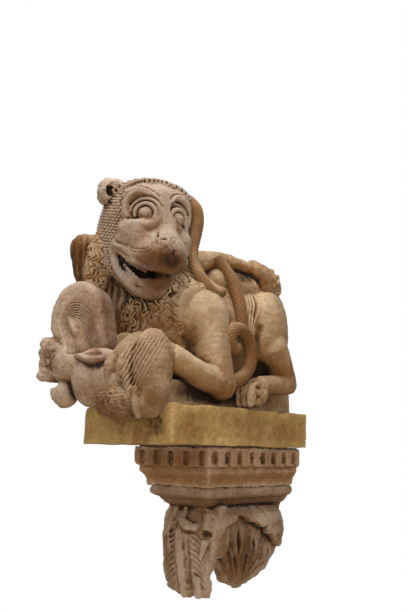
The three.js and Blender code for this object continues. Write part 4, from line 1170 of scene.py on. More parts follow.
# %% Left forepaw
PAW_MIDDLE = np.array(at(150, -26, 104))
PAW_OUT = np.array((0.73, -0.68, 0.0)) / math.hypot(0.73, 0.68)
PAW_TURN = np.array((PAW_OUT, np.cross(UP, PAW_OUT), UP))
PAW_MASSES = {
    "back of the paw": (PAW_MIDDLE, (60, 66, 126), 8),
    "wrist": (at(136, -18, 180), (48, 52, 56), 16),
    "outer toe": (at(178, -30, 30), (44, 46, 56), 16),
    "toe tips": (at(160, -42, -6), (38, 48, 52), 16),
}
FOREARM_END = [at(168, 40, 150, 42), at(150, -5, 160, 46)]
INNER_TOE = [at(96, -66, 178, 14), at(90, -80, 120, 18), at(94, -84, 62, 16), at(112, -82, 12, 15)]
HANGING_TOE = [at(132, -84, 30, 13), at(140, -80, -20, 14), at(140, -68, -48, 12)]
paws = StoneBlock((-90, FRONT - 150, SEAT - 78), (262, FRONT + 90, SEAT + 262), cell=2.4)
for centre, radii, blend in PAW_MASSES.values():
    paws.add(ball(centre, radii, PAW_TURN), blend)
paws.add(chain(FOREARM_END), blend=12)
paws.add(path(INNER_TOE), blend=12)
paws.add(path(HANGING_TOE), blend=8)
print("left paw:", ", ".join(PAW_MASSES))

# %% Strands on the left forepaw
STRAND_WIDTH = 12.0
STRAND_DEPTH = 8
STRANDS_FROM, STRANDS_TO = -104.0, 6.0
ACROSS_STRANDS = (0.884, 0.467)  # a direction of length 1, to the right of the picture and down
out_by, right_by, up_by = moved(paws.points(), PAW_MIDDLE, PAW_TURN)
strand_at = ACROSS_STRANDS[0] * right_by - ACROSS_STRANDS[1] * up_by
drawn = rising(strand_at, STRANDS_FROM, 8) * falling(strand_at, STRANDS_TO, 8)
drawn = drawn * falling(np.abs(up_by - 16), 100, 24) * rising(out_by, -20, 10)
strand = np.abs(np.sin((strand_at + 3 * paws.noise(24, 43)) * (math.pi / STRAND_WIDTH)))
paws.field -= drawn * np.clip(0.4 - strand_at / 80, 0.25, 1) * STRAND_DEPTH * (np.sqrt(strand) - 0.7)
print("strands are", STRAND_WIDTH, "mm wide")

# %% Right forepaw, wear, stains and painted shade
RIGHT_PAW = [at(40, 10, 196, 46), at(32, -30, 162, 46), at(30, -46, 112, 40)]
BETWEEN_TOES = [at(44, -92, 140, 7), at(36, -100, 104, 9), at(32, -92, 66, 10)]
paws.add(path(RIGHT_PAW), blend=10)
for across in (6, 68):
    toe = [at(across + 4, -52, 162, 21), at(across, -82, 118, 22), at(across - 4, -82, 70, 17)]
    paws.add(path(toe, 4), blend=7)
paws.carve(path(BETWEEN_TOES), blend=6)
paws.wear((2.2, 30, 41), (1.2, 11, 42), (0.8, 6, 44))
# Painted shade: the soot marks under the two forepaws.
PAW_STAINS_AND_SHADE = {
    "iron on the left paw": (at(172, -40, 46), (100, 90, 110), 0.75),
    "soot under the left paw": (at(170, -20, 20), (90, 90, 70), 0.3),
    "soot under the right paw": (at(30, -80, 60), (90, 60, 40), 0.9),
}
paws.stain(PAW_STAINS_AND_SHADE)
cut_by_slab(paws)
carved_piece("lion_forepaws", paws, PAW_STONE, "carved_stone", "lion_group")

# %% [markdown]
# ## Ram
# The ram lies across the front, with its head beyond the slab's corner: a broken snout, a round cheek, a
# narrow ear and a great curled horn like a snail shell. A horn could be swept along a spiral. This one is
# worn to a disc with shallow coils, so it is a flat outline of some width, and the coils are drawn on its
# face.

# %% Ram's head
CHEEK_AND_BROW = {
    "cheek": ((-36, 2, -18), (74, 62, 96), 10),
    "brow": ((52, 4, 42), (80, 56, 76), 16),
}
BRIDGE_AND_JAW = {
    "bridge": ((112, 0, 100), (66, 48, 40), 10),
    "jaw": ((74, 0, -62), (50, 46, 54), 10),
}
EAR = [(-6, 44, 66, 18), (-40, 54, 64, 27), (-78, 58, 56, 31), (-118, 58, 58, 22), (-158, 56, 62, 7)]
ram = StoneBlock((-250, -150, -125), (215, 130, 350), cell=2.6, place=RAM)
ram.lay(CHEEK_AND_BROW)
ram.add(brick((118, -8, 58), (62, 50, 80), corner=24), blend=14)
ram.lay(BRIDGE_AND_JAW)
ram.add(path(EAR), blend=5)
print("ram's block has", ram.field.size, "points")

# %% Horn
HORN_DISC = (22.0, 196.0, 113.0)  # forward, up and radius
HORN_FOOT = (-24.0, 110.0, 84.0)
HORN_STRETCH = 0.81  # above its middle the horn is taller than wide
HORN_MIDDLE, HORN_HALF_WIDTH = -8.0, 54.0
HORN_ROUNDING = 26
HORN_EYE = (30.0, 176.0)
HORN_KNOB = [(54, 22, 198, 12), (44, 25, 176, 14), (30, 26, 150, 10)]
COIL_WIDTH = 8.6
COIL_DEPTH = 3.2
COILS_FROM, COILS_TO = 24.0, 84.0
DISH_DEPTH = 17


def horn_distance(p):
    """Distance to the horn: the outline of two discs and what joins them, with a rounded width."""
    rise = p[2] - HORN_DISC[1]
    flat = [p[0], np.zeros_like(p[1]), HORN_DISC[1] + np.where(rise > 0, rise * HORN_STRETCH, rise)]
    outline = limb((HORN_DISC[0], 0, *HORN_DISC[1:]), (HORN_FOOT[0], 0, *HORN_FOOT[1:]))[0](flat)
    return -soft_min(-outline, HORN_HALF_WIDTH - np.abs(p[1] - HORN_MIDDLE), HORN_ROUNDING)


horn_top = HORN_DISC[1] + HORN_DISC[2] / HORN_STRETCH
horn_low = (HORN_FOOT[0] - HORN_FOOT[2], HORN_MIDDLE - HORN_HALF_WIDTH, HORN_FOOT[1] - HORN_FOOT[2])
horn_high = (HORN_DISC[0] + HORN_DISC[2], HORN_MIDDLE + HORN_HALF_WIDTH, horn_top)
ram.add(form(horn_distance, horn_low, horn_high), blend=6)
f, l, u = ram.points()
below = np.clip(u - HORN_EYE[1], -90, 0)
sideways = f - HORN_EYE[0] - 0.42 * below
spread = np.hypot(np.where(sideways > 0, 1.5 * sideways, sideways), np.maximum(u - HORN_EYE[1], 0))
drawn = rising(spread, COILS_FROM, 6) * falling(spread, COILS_TO, 6)
coils = COIL_DEPTH * drawn * np.cos(2 * math.pi * spread / COIL_WIDTH)
ram.field += np.where((l > 8) & (u > 66), falling(spread, 92, 60) * DISH_DEPTH + coils, 0)
ram.add(path(HORN_KNOB), blend=8)
print("the horn is", round(horn_top - horn_low[2]), "mm high")

# %% Ear, body, wear, stains and painted shade of the ram
EAR_HOLLOW = [(-30, 80, 66, 6), (-72, 90, 56, 9), (-112, 80, 58, 6)]
UNDER_EAR = [(-60, 66, 22, 6), (-96, 66, 18, 8), (-120, 62, 30, 6)]
RAM_NECK = [(-50, -14, -12, 80)]
RAM_BODY = [at(60, -6, 60, 74), at(150, 30, 60, 60)]
ram.carve(path(EAR_HOLLOW), blend=8)
ram.carve(path(UNDER_EAR), blend=6)
ram.add(path(np.vstack([RAM_NECK, RAM.into(RAM_BODY)])), blend=20)
ram.carve(ball((108, 40, -34), (26, 60, 16)), blend=8)
ram.wear((1.4, 36, 51), (0.9, 12, 52), (0.6, 7, 55))
chips = 5 * ram.noise(30, 53) + 2.5 * ram.noise(14, 54) + 1.5 * ram.noise(8, 56)
ram.field += np.where(u < 140, rising(f, 66, 36) * chips, 0)
# Painted shade: the soot marks under the head and under the ear.
RAM_STAINS_AND_SHADE = {
    "soot under the head": ((40, 0, -70), (150, 120, 60), 0.6),
    "soot under the ear": ((-90, 60, 20), (70, 50, 30), 0.5),
    "iron on the side of the horn": ((-90, 20, 170), (110, 150, 190), 0.4),
    "iron on the cheek": ((-40, 40, -60), (90, 80, 60), 0.4),
    "iron on the snout": ((120, 0, 50), (90, 100, 120), 0.6),
    "soot on the snout": ((120, 0, 40), (90, 100, 120), 0.4),
}
ram.stain(RAM_STAINS_AND_SHADE)
cut_by_slab(ram)
carved_piece("ram", ram, RAM_STONE, "carved_stone", "lion_group")

# %% [markdown]
# ## Fleece and haunch
# The ram's fleece shows as a round tuft over the edge of the slab. Each curl could be a small spiral, but
# they are worn to lumps, so two waves that cross and some noise stand for them. What rises behind the
# lion's mane can't be told for certain. It is taken for the ram's haunch and made as a bent limb with
# shallow grooves.

# %% Fleece
CURL_WIDTH = 11.0
CURL_HEIGHT = 13.0
TUFT = {
    "tuft": (at(20, -62, -2), (88, 52, 58), 8),
    "left of the tuft": (at(60, -70, -4), (60, 52, 56), 14),
}
FLEECE_STAINS = {
    "soot on the fleece": (at(20, -60, 0), (140, 120, 110), 0.35),
    "iron on the fleece": (at(20, -60, 0), (140, 120, 110), 0.9),
}
fleece = StoneBlock((-110, FRONT - 150, SEAT - 90), (150, FRONT + 20, SEAT + 90), cell=2.2)
fleece.lay(TUFT)
x, y, z = fleece.points()
winding = x + y + 14 * fleece.noise(18, 61)
stacked = z + 8 * fleece.noise(16, 65)
curls = 1.5 * np.cos(winding * (2 * math.pi / CURL_WIDTH))
fleece.field -= curls + 1.2 * np.cos(stacked * (2 * math.pi / CURL_HEIGHT))
fleece.wear((3.0, 16, 66), (2.2, 9, 62))
fleece.stain(FLEECE_STAINS)
cut_by_slab(fleece)
carved_piece("ram_fleece", fleece, PAW_STONE, "carved_stone", "lion_group")

# %% Haunch
GROOVE_WIDTH = 26.0
GROOVE_DEPTH = 1.5
HAUNCH_LINE = [at(-190, 130, 330, 84), at(-236, 50, 440, 77), at(-260, 0, 532, 63), at(-264, -16, 590, 56)]
HAUNCH_TOP = [at(-266, -20, 596, 52), at(-232, 22, 602, 52)]
HAUNCH_STAINS = {
    "soot on the haunch": (at(-240, 20, 500), (240, 260, 300), 0.75),
    "iron on the haunch": (at(-250, 20, 500), (200, 200, 260), 0.6),
}
haunch = StoneBlock((-354, FRONT - 112, SEAT + 240), (-20, FRONT + 260, SEAT + 662), cell=4.0)
haunch.add(path(HAUNCH_LINE))
haunch.add(chain(HAUNCH_TOP), blend=14)
x, y, z = haunch.points()
groove_at = 0.8 * x + 0.6 * y + 10 * haunch.noise(60, 68)
haunch.field += GROOVE_DEPTH * np.cos(groove_at * (2 * math.pi / GROOVE_WIDTH))
haunch.wear((4, 60, 67), (2.5, 40, 63), (1.2, 14, 64))
haunch.stain(HAUNCH_STAINS)
carved_piece("ram_haunch", haunch, LION_STONE, "carved_stone", "lion_group")

# %% [markdown]
# ## Beast on the back
# A second animal lies along the lion's back with a paw on its rump. Only a foreleg and the toes can be made
# out, so the rest is two plain limbs, and noise wears the toes down as they are on the stone.

# %% Beast
LEFT_FLANK = [at(60, 390, 500, 56), at(64, 550, 488, 62)]
RIGHT_FLANK = [at(-60, 280, 500, 70), by(-70, 150, 500, 66)]
FORELEG = [at(20, 270, 552, 46), at(50, 380, 580, 38), at(62, 480, 582, 34), at(84, 556, 574, 28)]
FORE_PAW = [at(88, 572, 592, 30), at(106, 598, 556, 46), at(114, 628, 516, 38)]
# Painted shade: the soot mark under the foreleg.
BEAST_STAINS_AND_SHADE = {
    "iron on the foreleg": (at(110, 480, 540), (90, 140, 60), 0.6),
    "soot under the foreleg": (at(110, 480, 530), (80, 120, 40), 0.9),
}
beast = StoneBlock((-170, FRONT + 190, SEAT + 400), (190, 0, SEAT + 690), cell=3.2)
beast.add(chain(LEFT_FLANK), blend=20)
beast.add(chain(RIGHT_FLANK), blend=20)
beast.add(path(FORELEG), blend=10)
beast.add(path(FORE_PAW), blend=10)
for along in (-20, 2, 24):
    toe = [at(122, 636 + along, 584, 13), at(136, 650 + along, 540, 16), at(134, 664 + along, 498, 12)]
    beast.add(path(toe), blend=8)
x, y, z = beast.points()
toes_near = patch((x, 130, 70), (y - FRONT, 665, 62), (z - SEAT, 540, 84))
beast.field += toes_near * (8 * beast.noise(16, 74) + 5 * beast.noise(9, 75))
beast.wear((2.6, 36, 71), (1.6, 16, 73), (0.9, 8, 72))
beast.stain(BEAST_STAINS_AND_SHADE)
carved_piece("back_beast", beast, LION_STONE, "carved_stone", "lion_group")

# %% [markdown]
# ## Slab
# The slab is a plain block, so its life is in its edges: worn arrises, chips, and a flaked patch at the
# corner. A box with bevelled edges would wear evenly all round. Here noise says where an edge has worn and
# where it has stood.

# %% Slab
EDGE_WEAR = 9
WORN_BELOW = 30  # mm, how far down from the top the wear of an edge goes
# Painted shade: the soot mark on the slab's front face.
SLAB_STAINS_AND_SHADE = {
    "soot on the front": ((60, FRONT, SLAB_TOP - 60), (170, 60, 110), 0.225),
    "soot in the flaked patch": ((150, FRONT, SLAB_TOP - 70), (60, 50, 60), 0.315),
    "iron on the front": ((0, FRONT, SLAB_TOP - 70), (240, 60, 120), 0.5),
}
slab = StoneBlock(slab_low - 8, slab_high + 8, cell=3.6)
slab.add(brick((slab_low + slab_high) / 2, (slab_high - slab_low) / 2 + (3, 3, 0), corner=2))
x, y, z = slab.points()
edge_wear = np.clip(1 - (SLAB_TOP - z) / 26, 0, 1) * np.clip((slab.noise(85, 81) - 0.05) * 2, 0, 1)
near_edge = np.clip(1 - np.minimum(SIDE - np.abs(x), y - FRONT) / 40, 0, 1)
slab.field += np.where(z > SLAB_TOP - WORN_BELOW, edge_wear * EDGE_WEAR * near_edge, 0)
flaked = patch((x, 150, 52), (z - SLAB_TOP, -62, 56)) * np.clip(1 - (y - FRONT) / 30, 0, 1)
slab.field += flaked * (5 + 5 * slab.noise(16, 85))
slab.wear((2.4, 50, 82), (1.4, 18, 83), (0.8, 9, 84))
slab.stain(SLAB_STAINS_AND_SHADE)
carved_piece("worn_slab", slab, SLAB_STONE, "slab_stone", "plinth_slab")

# %% [markdown]
# ## Impost
# The impost has one moulding on its front and both sides: a band of niches, a fillet and a hollow. A mason
# runs a template along the stone, and a sweep would do the same. Here the distance is that of a box whose
# half-width changes with the level, which turns the corners by itself.

# %% Impost
IMPOST_FRONT = float(impost_low[1])
BAND = float(impost_high[0])
BLOCK_DEPTH = -IMPOST_FRONT - BAND
SIDE_NICHES = 8
FRONT_NICHES = 5
# Level, then half-width
IMPOST_PROFILE = [
    (-70, 157), (-52, 158), (-40, 162), (-26, 174), (-20, 179), (0, 179), (1, 187), (6, 190),
    (66, 191),
]


def moulded(block, profile, corner=7.0):
    """Distance to a block with this (level, half-width) moulding and its back on the wall."""
    x, y, z = block.points()
    levels = [level for level, _ in profile]
    half = read_off(profile, z.ravel()).astype(np.float32).reshape(z.shape)
    side = np.abs(x) - half
    front = -y - (BLOCK_DEPTH + half)
    ends = np.maximum(z - levels[-1], levels[0] - z)
    return np.maximum(np.maximum(-soft_min(-side, -front, corner), ends), y)


impost = StoneBlock(impost_low - 8, impost_high + 8, cell=3.0)
impost.field = moulded(impost, IMPOST_PROFILE)
for number in range(SIDE_NICHES):
    y = -(BLOCK_DEPTH + BAND) * (number + 0.5) / SIDE_NICHES
    for side in SIDES:
        impost.carve(brick((side * BAND, y, 24), (15, 17, 16), corner=9), blend=3)
        impost.carve(ball((side * BAND, y, 38), (15, 17, 17)), blend=3)
        impost.carve(brick((side * BAND, y + 8, 3), (10, 11, 4), corner=3), blend=2)
for number in range(FRONT_NICHES):
    x = BAND * (2 * (number + 0.5) / FRONT_NICHES - 1)
    impost.carve(brick((x, IMPOST_FRONT, 28), (16, 14, 26), corner=6), blend=5)
impost.wear((3.0, 34, 91), (1.8, 13, 92), (0.9, 7, 93))
impost.stain({"iron on the front": ((0, IMPOST_FRONT, 20), (220, 70, 70), 0.55)})
carved_piece("carved_impost", impost, IMPOST_STONE, "brown_stone", "impost_block")

# %% [markdown]
# ## Capital
# Under the bed joint come a roll, a fillet and the bell with its hanging leaves. Each leaf is a thick
# curved shell with stems and veins, turned over at the top. It could be a bent sheet with a thickness, but
# it grows out of the bell, so it is carved: a flat outline, a surface that bulges, and a back.

# %% Bell and leaf tools
CAPITAL_PROFILE = [
    (-318, 66), (-150, 92), (-140, 99), (-132, 114), (-120, 124), (-112, 128), (-107, 143), (-98, 151),
    (-86, 153), (-77, 151), (-71, 146),
]
LEAF_THICKNESS = 34.0
BELL_FOOT = -306.0
capital = StoneBlock(capital_low - 10, np.array(capital_high) + (10, 2, 10), cell=2.9)
capital.field = moulded(capital, CAPITAL_PROFILE, corner=30)
x, y, z = capital.points()


def outline(points, a, b):
    """Distance from (a, b) to a closed outline, below zero inside it."""
    far = np.full(np.broadcast(a, b).shape, OPEN, np.float32)
    inside = np.zeros(far.shape, bool)
    for (a0, b0), (a1, b1) in zip(points, points[1:] + points[:1]):
        da, db = a1 - a0, b1 - b0
        t = np.clip(((a - a0) * da + (b - b0) * db) / (da * da + db * db), 0, 1)
        far = np.minimum(far, np.hypot(a - a0 - t * da, b - b0 - t * db))
        inside ^= ((b0 > b) != (b1 > b)) & (a < a0 + (b - b0) * da / (db or 1))
    return np.where(inside, -far, far)


def leaf(flat, depth, surface, back):
    """A leaf with this flat outline, from its surface to its back; below the bell it is a thin shell."""
    back = np.where(z < BELL_FOOT, np.maximum(surface - LEAF_THICKNESS, back), back)
    within = soft_min(-flat, surface - depth, 12)
    return -soft_min(within, depth - back, 6)


print("capital's block has", capital.field.size, "points")

# %% Side leaves
# Outlines on the side of the bell: y, then level
SIDE_LEAF = [
    (-58, -130), (-46, -194), (-40, -290), (-52, -312), (-116, -366), (-188, -392), (-276, -425),
    (-357, -391), (-409, -322), (-440, -250), (-440, -130),
]
FRINGE = [
    (-445, -262), (-425, -240), (-410, -226), (-396, -202), (-372, -194), (-350, -186), (-330, -176),
    (-308, -164), (-278, -178), (-262, -192), (-230, -196), (-210, -208), (-196, -216), (-172, -218),
    (-160, -242), (-128, -250), (-92, -282), (-62, -296), (-36, -300),
]
# Level, then how far out the turned-over hood and the bed under it lie
HOOD = [(-440, 60), (-300, 150), (-240, 168), (-200, 170), (-166, 160), (-138, 110), (-120, 96)]
BED = [(-440, 104), (-424, 112), (-390, 124), (-300, 132), (-220, 132), (-160, 120), (-120, 96)]
# Slits: y, top and foot; flutes: y and top; grooves: y
SLITS = [(-378, -240, -272), (-296, -226, -298), (-212, -250, -314), (-115, -292, -340)]
FLUTES = [(-398, -300), (-352, -292), (-318, -312), (-254, -312), (-196, -330), (-138, -350)]
HOOD_GROOVES = (-400, -368, -330, -290, -236, -180, -130, -86)
HOOD_BACK = {1: 0, -1: 30}  # the far hood is worn back


def side_bend(at_y):
    """How far the side leaf falls back from its middle."""
    return 22 * ((at_y + 245) / 200) ** 2


def bed_place(at_y, level):
    """How far out the recessed bed of the side leaf lies."""
    return float(read_off(BED, level)) - side_bend(at_y)


hood_at = read_off(HOOD, z) - side_bend(y)
bed_at = read_off(BED, z) - side_bend(y)
side_flat = outline(SIDE_LEAF, y, z)
hood_flat = -soft_min(-side_flat, z - read_off(FRINGE, y), 4)
for side in SIDES:
    reach = side * x
    capital.field = soft_min(capital.field, leaf(side_flat, reach, bed_at, 40), 8)
    capital.field = soft_min(capital.field, leaf(hood_flat, reach, hood_at - HOOD_BACK[side], 60), 4)
    for at_y, top, foot in SLITS:
        rows = ((top, 6), ((top + foot) / 2, 14), (foot, 7))
        for sink in (0, 12, 24):
            slit = [(bed_place(at_y, level) - sink, at_y, level, radius) for level, radius in rows]
            capital.carve(path(mirrored(slit, side), 4), blend=3)
    for at_y, top in FLUTES:
        line = [(at_y, top), ((at_y - 276) / 2, -372), (-275, -418)]
        flute = [(bed_place(*row) + 2, *row, 9) for row in line]
        capital.carve(path(mirrored(flute, side)), blend=5)
    for at_y in HOOD_GROOVES:
        groove = [(112, at_y, -140, 4), (172, at_y + 6, -190, 5), (172, at_y + 10, -240, 4)]
        capital.carve(path(mirrored(groove, side)), blend=5)
print("side leaves have", len(FLUTES), "flutes each")

# %% Front leaf
# Its outline on the front of the bell: x, then level
FRONT_LEAF = [
    (-72, -130), (-86, -170), (-114, -253), (-121, -321), (-110, -385), (-72, -423), (-7, -441), (34, -438),
    (55, -416), (74, -434), (98, -436), (108, -414), (110, -371), (134, -317), (150, -225), (140, -130),
]
FACE = [(-440, 450), (-420, 466), (-330, 476), (-240, 482), (-200, 474), (-160, 446), (-130, 420)]
# How far each rib stands out, then its rows of x, level and radius
FRONT_RIBS = {
    "turned-over tip": (4, [(2, -150, 10), (12, -185, 13), (40, -200, 17), (74, -206, 16)]),
    "right rib": (2, [(-52, -140, 9), (-50, -200, 12), (-44, -290, 9)]),
    "stem": (2, [(6, -225, 12), (14, -290, 17), (22, -360, 18), (26, -424, 14)]),
    "left lobe": (2, [(88, -372, 18), (88, -420, 15)]),
    "left rib": (2, [(108, -170, 16), (120, -240, 16), (104, -300, 12)]),
}
BESIDE_STEM = (
    [(-18, -240, 6), (-12, -330, 10), (-4, -412, 9)],
    [(48, -240, 5), (54, -320, 8), (56, -410, 9)],
)
UNDER_TIP = (
    ((56, -500, -226), (36, 30, 14)),
    ((122, -476, -226), (26, 30, 16)),
    ((-20, -486, -196), (16, 26, 30)),
)
VEINS = 9
VEINS_FROM = -214
VEIN_STEP = 19.0


def front_bend(at_x):
    """How far the front leaf falls back from its middle."""
    return 26 * ((at_x - 20) / 120) ** 2


def front_line(rows, lift):
    """A line on the front leaf through (x, level, radius) rows."""
    faces = [front_bend(at_x) - float(read_off(FACE, level)) for at_x, level, _ in rows]
    return path([(at_x, face - lift, level, radius) for face, (at_x, level, radius) in zip(faces, rows)])


front_at = read_off(FACE, z) - front_bend(x)
capital.field = soft_min(capital.field, leaf(outline(FRONT_LEAF, x, z), -y, front_at, 372), 8)
for lift, rows in FRONT_RIBS.values():
    capital.add(front_line(rows, lift), blend=8)
for number in range(VEINS):
    level = VEINS_FROM - VEIN_STEP * number
    right_vein = [(-18, level, 4), (-62, level - 26, 6), (-104, level - 70, 6), (-122, level - 120, 5)]
    left_vein = [(54, level, 4), (88, level - 20, 6), (128, level - 66, 6)]
    for vein in (right_vein, left_vein):
        capital.carve(front_line(vein, lift=1), blend=4)
for rows in BESIDE_STEM:
    capital.carve(front_line(rows, lift=2), blend=5)
for centre, radii in UNDER_TIP:
    capital.carve(ball(centre, radii), blend=5)
print("front leaf:", ", ".join(FRONT_RIBS))

# %% Wear, stains and painted shade of the capital
# Painted shade: the soot mark in each side leaf, under its hood.
LEAF_STAINS_AND_SHADE = {
    "soot in the side leaf": ((130, -260, -300), (70, 170, 110), 0.6),
    "iron in the side leaf": ((130, -260, -320), (70, 170, 110), 0.7),
}
for side in SIDES:
    capital.stain(LEAF_STAINS_AND_SHADE, side)
capital.wear((3.0, 30, 95), (1.6, 13, 96), (0.8, 7, 97))
carved_piece("carved_capital", capital, LEAF_STONE, "brown_stone", "leaf_capital")

# %% [markdown]
# ## Serpent
# A serpent winds over the lion's side, covered with scales. It could be carved like the rest, but it
# follows a path and its scales repeat. So Geometry Nodes sweep a round section along the path and lift its
# skin into scales.

# %% Serpent tree
SECTION_POINTS = 66
serpent_tree, serpent_in, serpent_out = new_group(
    "Serpent along a path",
    "GeometryNodeTree",
    [
        ("Geometry", "Geometry", None),
        ("Step", "Float", 0.0022),
        ("Scale Length", "Float", 0.013),
        ("Scales Round", "Float", 11.0),
        ("Relief", "Float", 0.006),
        ("Finish", "Material", None),
    ],
    [("Geometry", "Geometry")],
)
g = serpent_tree


def stored(geometry, name, value):
    """The geometry, with a value kept on its points under this name."""
    values = {"Geometry": geometry, "Name": name, "Value": value}
    kind = "GeometryNodeStoreNamedAttribute"
    return node(g, kind, values, data_type="FLOAT", domain="POINT").outputs[0]


def named(name):
    """The value that is kept on the points under this name."""
    return node(g, "GeometryNodeInputNamedAttribute", {"Name": name}, data_type="FLOAT").outputs["Attribute"]


def ridge(value):
    """Falls from a half to zero and rises again, once for every whole step of the value."""
    return maths(g, "ABSOLUTE", maths(g, "SUBTRACT", maths(g, "FRACT", value), 0.5))


line = node(g, "GeometryNodeMeshToCurve", {0: serpent_in["Geometry"]}).outputs[0]
values = {"Curve": line, "Length": serpent_in["Step"]}
line = node(g, "GeometryNodeResampleCurve", values, mode="LENGTH").outputs[0]
line = stored(line, "along", node(g, "GeometryNodeSplineParameter").outputs["Length"])
values = {"Resolution": SECTION_POINTS, "Radius": 1.0}
section = node(g, "GeometryNodeCurvePrimitiveCircle", values).outputs[0]
section = stored(section, "turn", node(g, "GeometryNodeSplineParameter").outputs["Factor"])
values = {"Curve": line, "Profile Curve": section, "Scale": named("thick"), "Fill Caps": True}
body = node(g, "GeometryNodeCurveToMesh", values).outputs[0]
rows = maths(g, "DIVIDE", named("along"), serpent_in["Scale Length"])
round_about = maths(g, "MULTIPLY", named("turn"), serpent_in["Scales Round"])
crossing = [ridge(maths(g, way, rows, round_about)) for way in ("ADD", "SUBTRACT")]
scale = maths(g, "MINIMUM", *crossing)
lift = maths(g, "MULTIPLY", maths(g, "SQRT", scale), serpent_in["Relief"])
normal = node(g, "GeometryNodeInputNormal").outputs["Normal"]
offset = node(g, "ShaderNodeVectorMath", {0: normal, "Scale": lift}, operation="SCALE").outputs[0]
raised = node(g, "GeometryNodeSetPosition", {"Geometry": body, "Offset": offset}).outputs[0]
smooth = node(g, "GeometryNodeSetShadeSmooth", {"Geometry": raised}).outputs[0]
# Painted shade between the scales: the grooves get a high hollow value, which the stone's finish darkens.
shade_between_scales = maths(g, "SUBTRACT", 0.26, maths(g, "MULTIPLY", scale, 0.6))
painted = stored(smooth, "hollow", shade_between_scales)
plain = node(g, "GeometryNodeRealizeInstances", {"Geometry": painted}).outputs[0]
done = node(g, "GeometryNodeSetMaterial", {"Geometry": plain, "Material": serpent_in["Finish"]}).outputs[0]
g.links.new(done, serpent_out.inputs[0])
print("serpent tree has", len(g.nodes), "nodes")

# %% Serpent


def path_object(name, strands):
    """An object of bare edges along each strand, whose points keep their thickness in metres."""
    points, edges, thickness = [], [], []
    for strand in strands:
        rows = smooth_path(strand, 10)
        first = len(points)
        points += [tuple(row[:3] * MM) for row in rows]
        thickness += [float(row[3]) * MM for row in rows]
        edges += [(i, i + 1) for i in range(first, first + len(rows) - 1)]
    mesh = bpy.data.meshes.new(name)
    mesh.from_pydata(points, edges, [])
    mesh.attributes.new("thick", "FLOAT", "POINT").data.foreach_set("value", thickness)
    obj = bpy.data.objects.new(name, mesh)
    bpy.context.scene.collection.objects.link(obj)
    return obj


def grow(obj, tree, **values):
    """Runs a node tree on an object once and keeps the result as its plain mesh."""
    modifier = obj.modifiers.new(tree.name, "NODES")
    modifier.node_group = tree
    for item in tree.interface.items_tree:
        if item.in_out == "INPUT" and item.name.replace(" ", "_") in values:
            modifier[item.identifier] = values[item.name.replace(" ", "_")]
    bpy.context.view_layer.update()
    grown = bpy.data.meshes.new_from_object(obj.evaluated_get(bpy.context.evaluated_depsgraph_get()))
    obj.modifiers.remove(modifier)
    old = obj.data
    obj.data = grown
    bpy.data.meshes.remove(old)
    grown.name = obj.name
    return obj


BESIDE_FACE = [
    at(78, 196, 776, 15), at(106, 206, 732, 20), at(111, 211, 687, 21), at(104, 211, 638, 20),
    at(95, 206, 577, 18), at(103, 202, 525, 18), at(134, 207, 465, 19), at(150, 228, 427, 20),
    at(158, 262, 405, 20), at(150, 310, 424, 17),
]
OVER_BACK = [at(80, 360, 580, 19), at(128, 392, 490, 21), at(168, 398, 372, 21), at(178, 398, 270, 19)]
TAIL = [
    at(192, 262, 88, 24), at(204, 330, 92, 23), at(208, 392, 138, 22), at(208, 410, 205, 22),
    at(204, 392, 262, 22), at(200, 345, 284, 22), at(194, 306, 262, 25), at(192, 300, 228, 28),
    at(196, 322, 206, 23), at(202, 346, 216, 14),
]
strands = path_object("serpent", [BESIDE_FACE, OVER_BACK, TAIL])
serpent = grow(strands, serpent_tree, Finish=SERPENT_STONE)
set_piece(serpent, SERPENT_STONE, "carved_stone", "lion_group")

# %% [markdown]
# ## Beds, dowels and ties
# The mortar, the iron and the lead are plain bars, sleeves and sheets, most of them hidden. The packed
# model has their shape already, so they keep it and only need a finish.

# %% Mortar and metal
DARK_TO, PALE_FROM = 0.35, 0.65  # where in the noise the two colours are pure
FINE_BUMP = {"Strength": 0.4, "Distance": 0.001}


def plain_finish(name, pale, dark, metallic, roughness, grain_size):
    """A material of two colours mixed by noise, with a fine bump of the same noise."""
    made = bpy.data.materials.new(name)
    made.use_nodes = True
    tree = made.node_tree
    surface = tree.nodes["Principled BSDF"]
    place = node(tree, "ShaderNodeTexCoord").outputs["Object"]
    values = {"Vector": place, "Scale": grain_size, "Detail": 6.0}
    noise = node(tree, "ShaderNodeTexNoise", values).outputs["Fac"]
    ramp = node(tree, "ShaderNodeValToRGB", {"Fac": noise})
    for stop, position, tone in zip(ramp.color_ramp.elements, (DARK_TO, PALE_FROM), (dark, pale)):
        stop.position = position
        stop.color = shade(tone)
    tree.links.new(ramp.outputs["Color"], surface.inputs["Base Color"])
    bump = node(tree, "ShaderNodeBump", {"Height": noise, **FINE_BUMP})
    tree.links.new(bump.outputs["Normal"], surface.inputs["Normal"])
    surface.inputs["Metallic"].default_value = metallic
    surface.inputs["Roughness"].default_value = roughness
    return made


FINISHES = {
    "bed": plain_finish("mortar", "8a7a64", "5c4e3c", metallic=0.0, roughness=0.95, grain_size=120.0),
    "dowel": plain_finish("forged iron", "5a4a40", "2e2522", metallic=0.85, roughness=0.6, grain_size=90.0),
    "lead": plain_finish("run lead", "84878a", "5a5d61", metallic=0.8, roughness=0.5, grain_size=60.0),
    "tie": plain_finish("rusted iron", "6a4630", "33241c", metallic=0.6, roughness=0.75, grain_size=90.0),
}
for name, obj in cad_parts.items():
    for word, finish in FINISHES.items():
        if word in name.split("_") and not obj.hide_render:
            obj.data.materials.clear()
            obj.data.materials.append(finish)
            break
print("finishes:", list(FINISHES))

# %% [markdown]
# ## Light and floor
# The photograph was taken in open shade: an even sky, a little stronger from above. A picture of a sky
# could light the stone, but a plain pale sky and two wide lamps are enough for light without edges. The
# background is white for the camera and for mirrored rays alone. What lights the stone is the plain sky and
# the lamps.

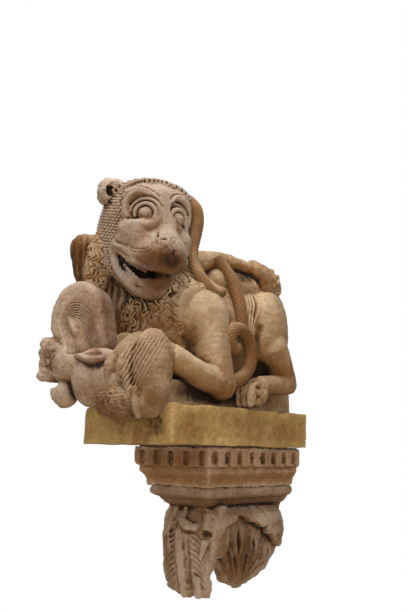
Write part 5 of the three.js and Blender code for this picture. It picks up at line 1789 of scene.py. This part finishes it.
# %% Light
SKY_STRENGTH = 0.34
SKY_COLOUR = (1.0, 0.98, 0.95, 1.0)
WHITE = (1.0, 1.0, 1.0, 1.0)
scene = bpy.context.scene
scene.view_settings.view_transform = "Standard"
world = bpy.data.worlds.new("open sky")
world.use_nodes = True
scene.world = world
sky = world.node_tree
sky.nodes.clear()
rays = node(sky, "ShaderNodeLightPath").outputs
bent = maths(sky, "MAXIMUM", rays["Is Glossy Ray"], rays["Is Transmission Ray"])
seen = maths(sky, "MAXIMUM", rays["Is Camera Ray"], bent)
light = node(sky, "ShaderNodeBackground", {"Color": SKY_COLOUR, "Strength": SKY_STRENGTH})
white = node(sky, "ShaderNodeBackground", {"Color": WHITE, "Strength": 1.0})
both = node(sky, "ShaderNodeMixShader", {0: seen, 1: light.outputs[0], 2: white.outputs[0]})
node(sky, "ShaderNodeOutputWorld", {0: both.outputs[0]})


def lamp(name, place, aim, size, power):
    """A round lamp of this size in metres and power in watts, turned to what it lights."""
    data = bpy.data.lights.new(name, "AREA")
    data.shape = "DISK"
    data.size = size
    data.energy = power
    obj = bpy.data.objects.new(name, data)
    obj.location = Vector(place)
    obj.rotation_mode = "QUATERNION"
    obj.rotation_quaternion = (Vector(aim) - obj.location).to_track_quat("-Z", "Y")
    scene.collection.objects.link(obj)


lamp("sky above", place=(0.4, -1.3, 4.0), aim=(0, -0.4, 0.3), size=2.4, power=130)
lamp("sky ahead", place=(2.6, -3.2, 0.3), aim=(0, -0.4, 0.1), size=2.2, power=55)
print("sky strength", SKY_STRENGTH, "with two lamps")

# %% Floor
FLOOR_DROP = 0.9
FLOOR_RADIUS = 1.5
FLOOR_MIDDLE = -0.4
FLOOR_SIDES = 64
floor_mesh = bpy.data.meshes.new("floor")
turns = np.linspace(0, 2 * math.pi, FLOOR_SIDES, endpoint=False)
rim = [(FLOOR_RADIUS * math.cos(a), FLOOR_RADIUS * math.sin(a) + FLOOR_MIDDLE) for a in turns]
floor_level = CAD_BOX[0][2] - FLOOR_DROP
floor_mesh.from_pydata([(x, y, floor_level) for x, y in rim], [], [list(range(FLOOR_SIDES))])
floor = bpy.data.objects.new("floor", floor_mesh)
scene.collection.objects.link(floor)
FLOOR_FINISH = plain_finish("pale floor", "f2f1ee", "ecebe7", metallic=0.0, roughness=0.9, grain_size=3.0)
floor_mesh.materials.append(FLOOR_FINISH)
print("floor at", round(floor_level, 3))
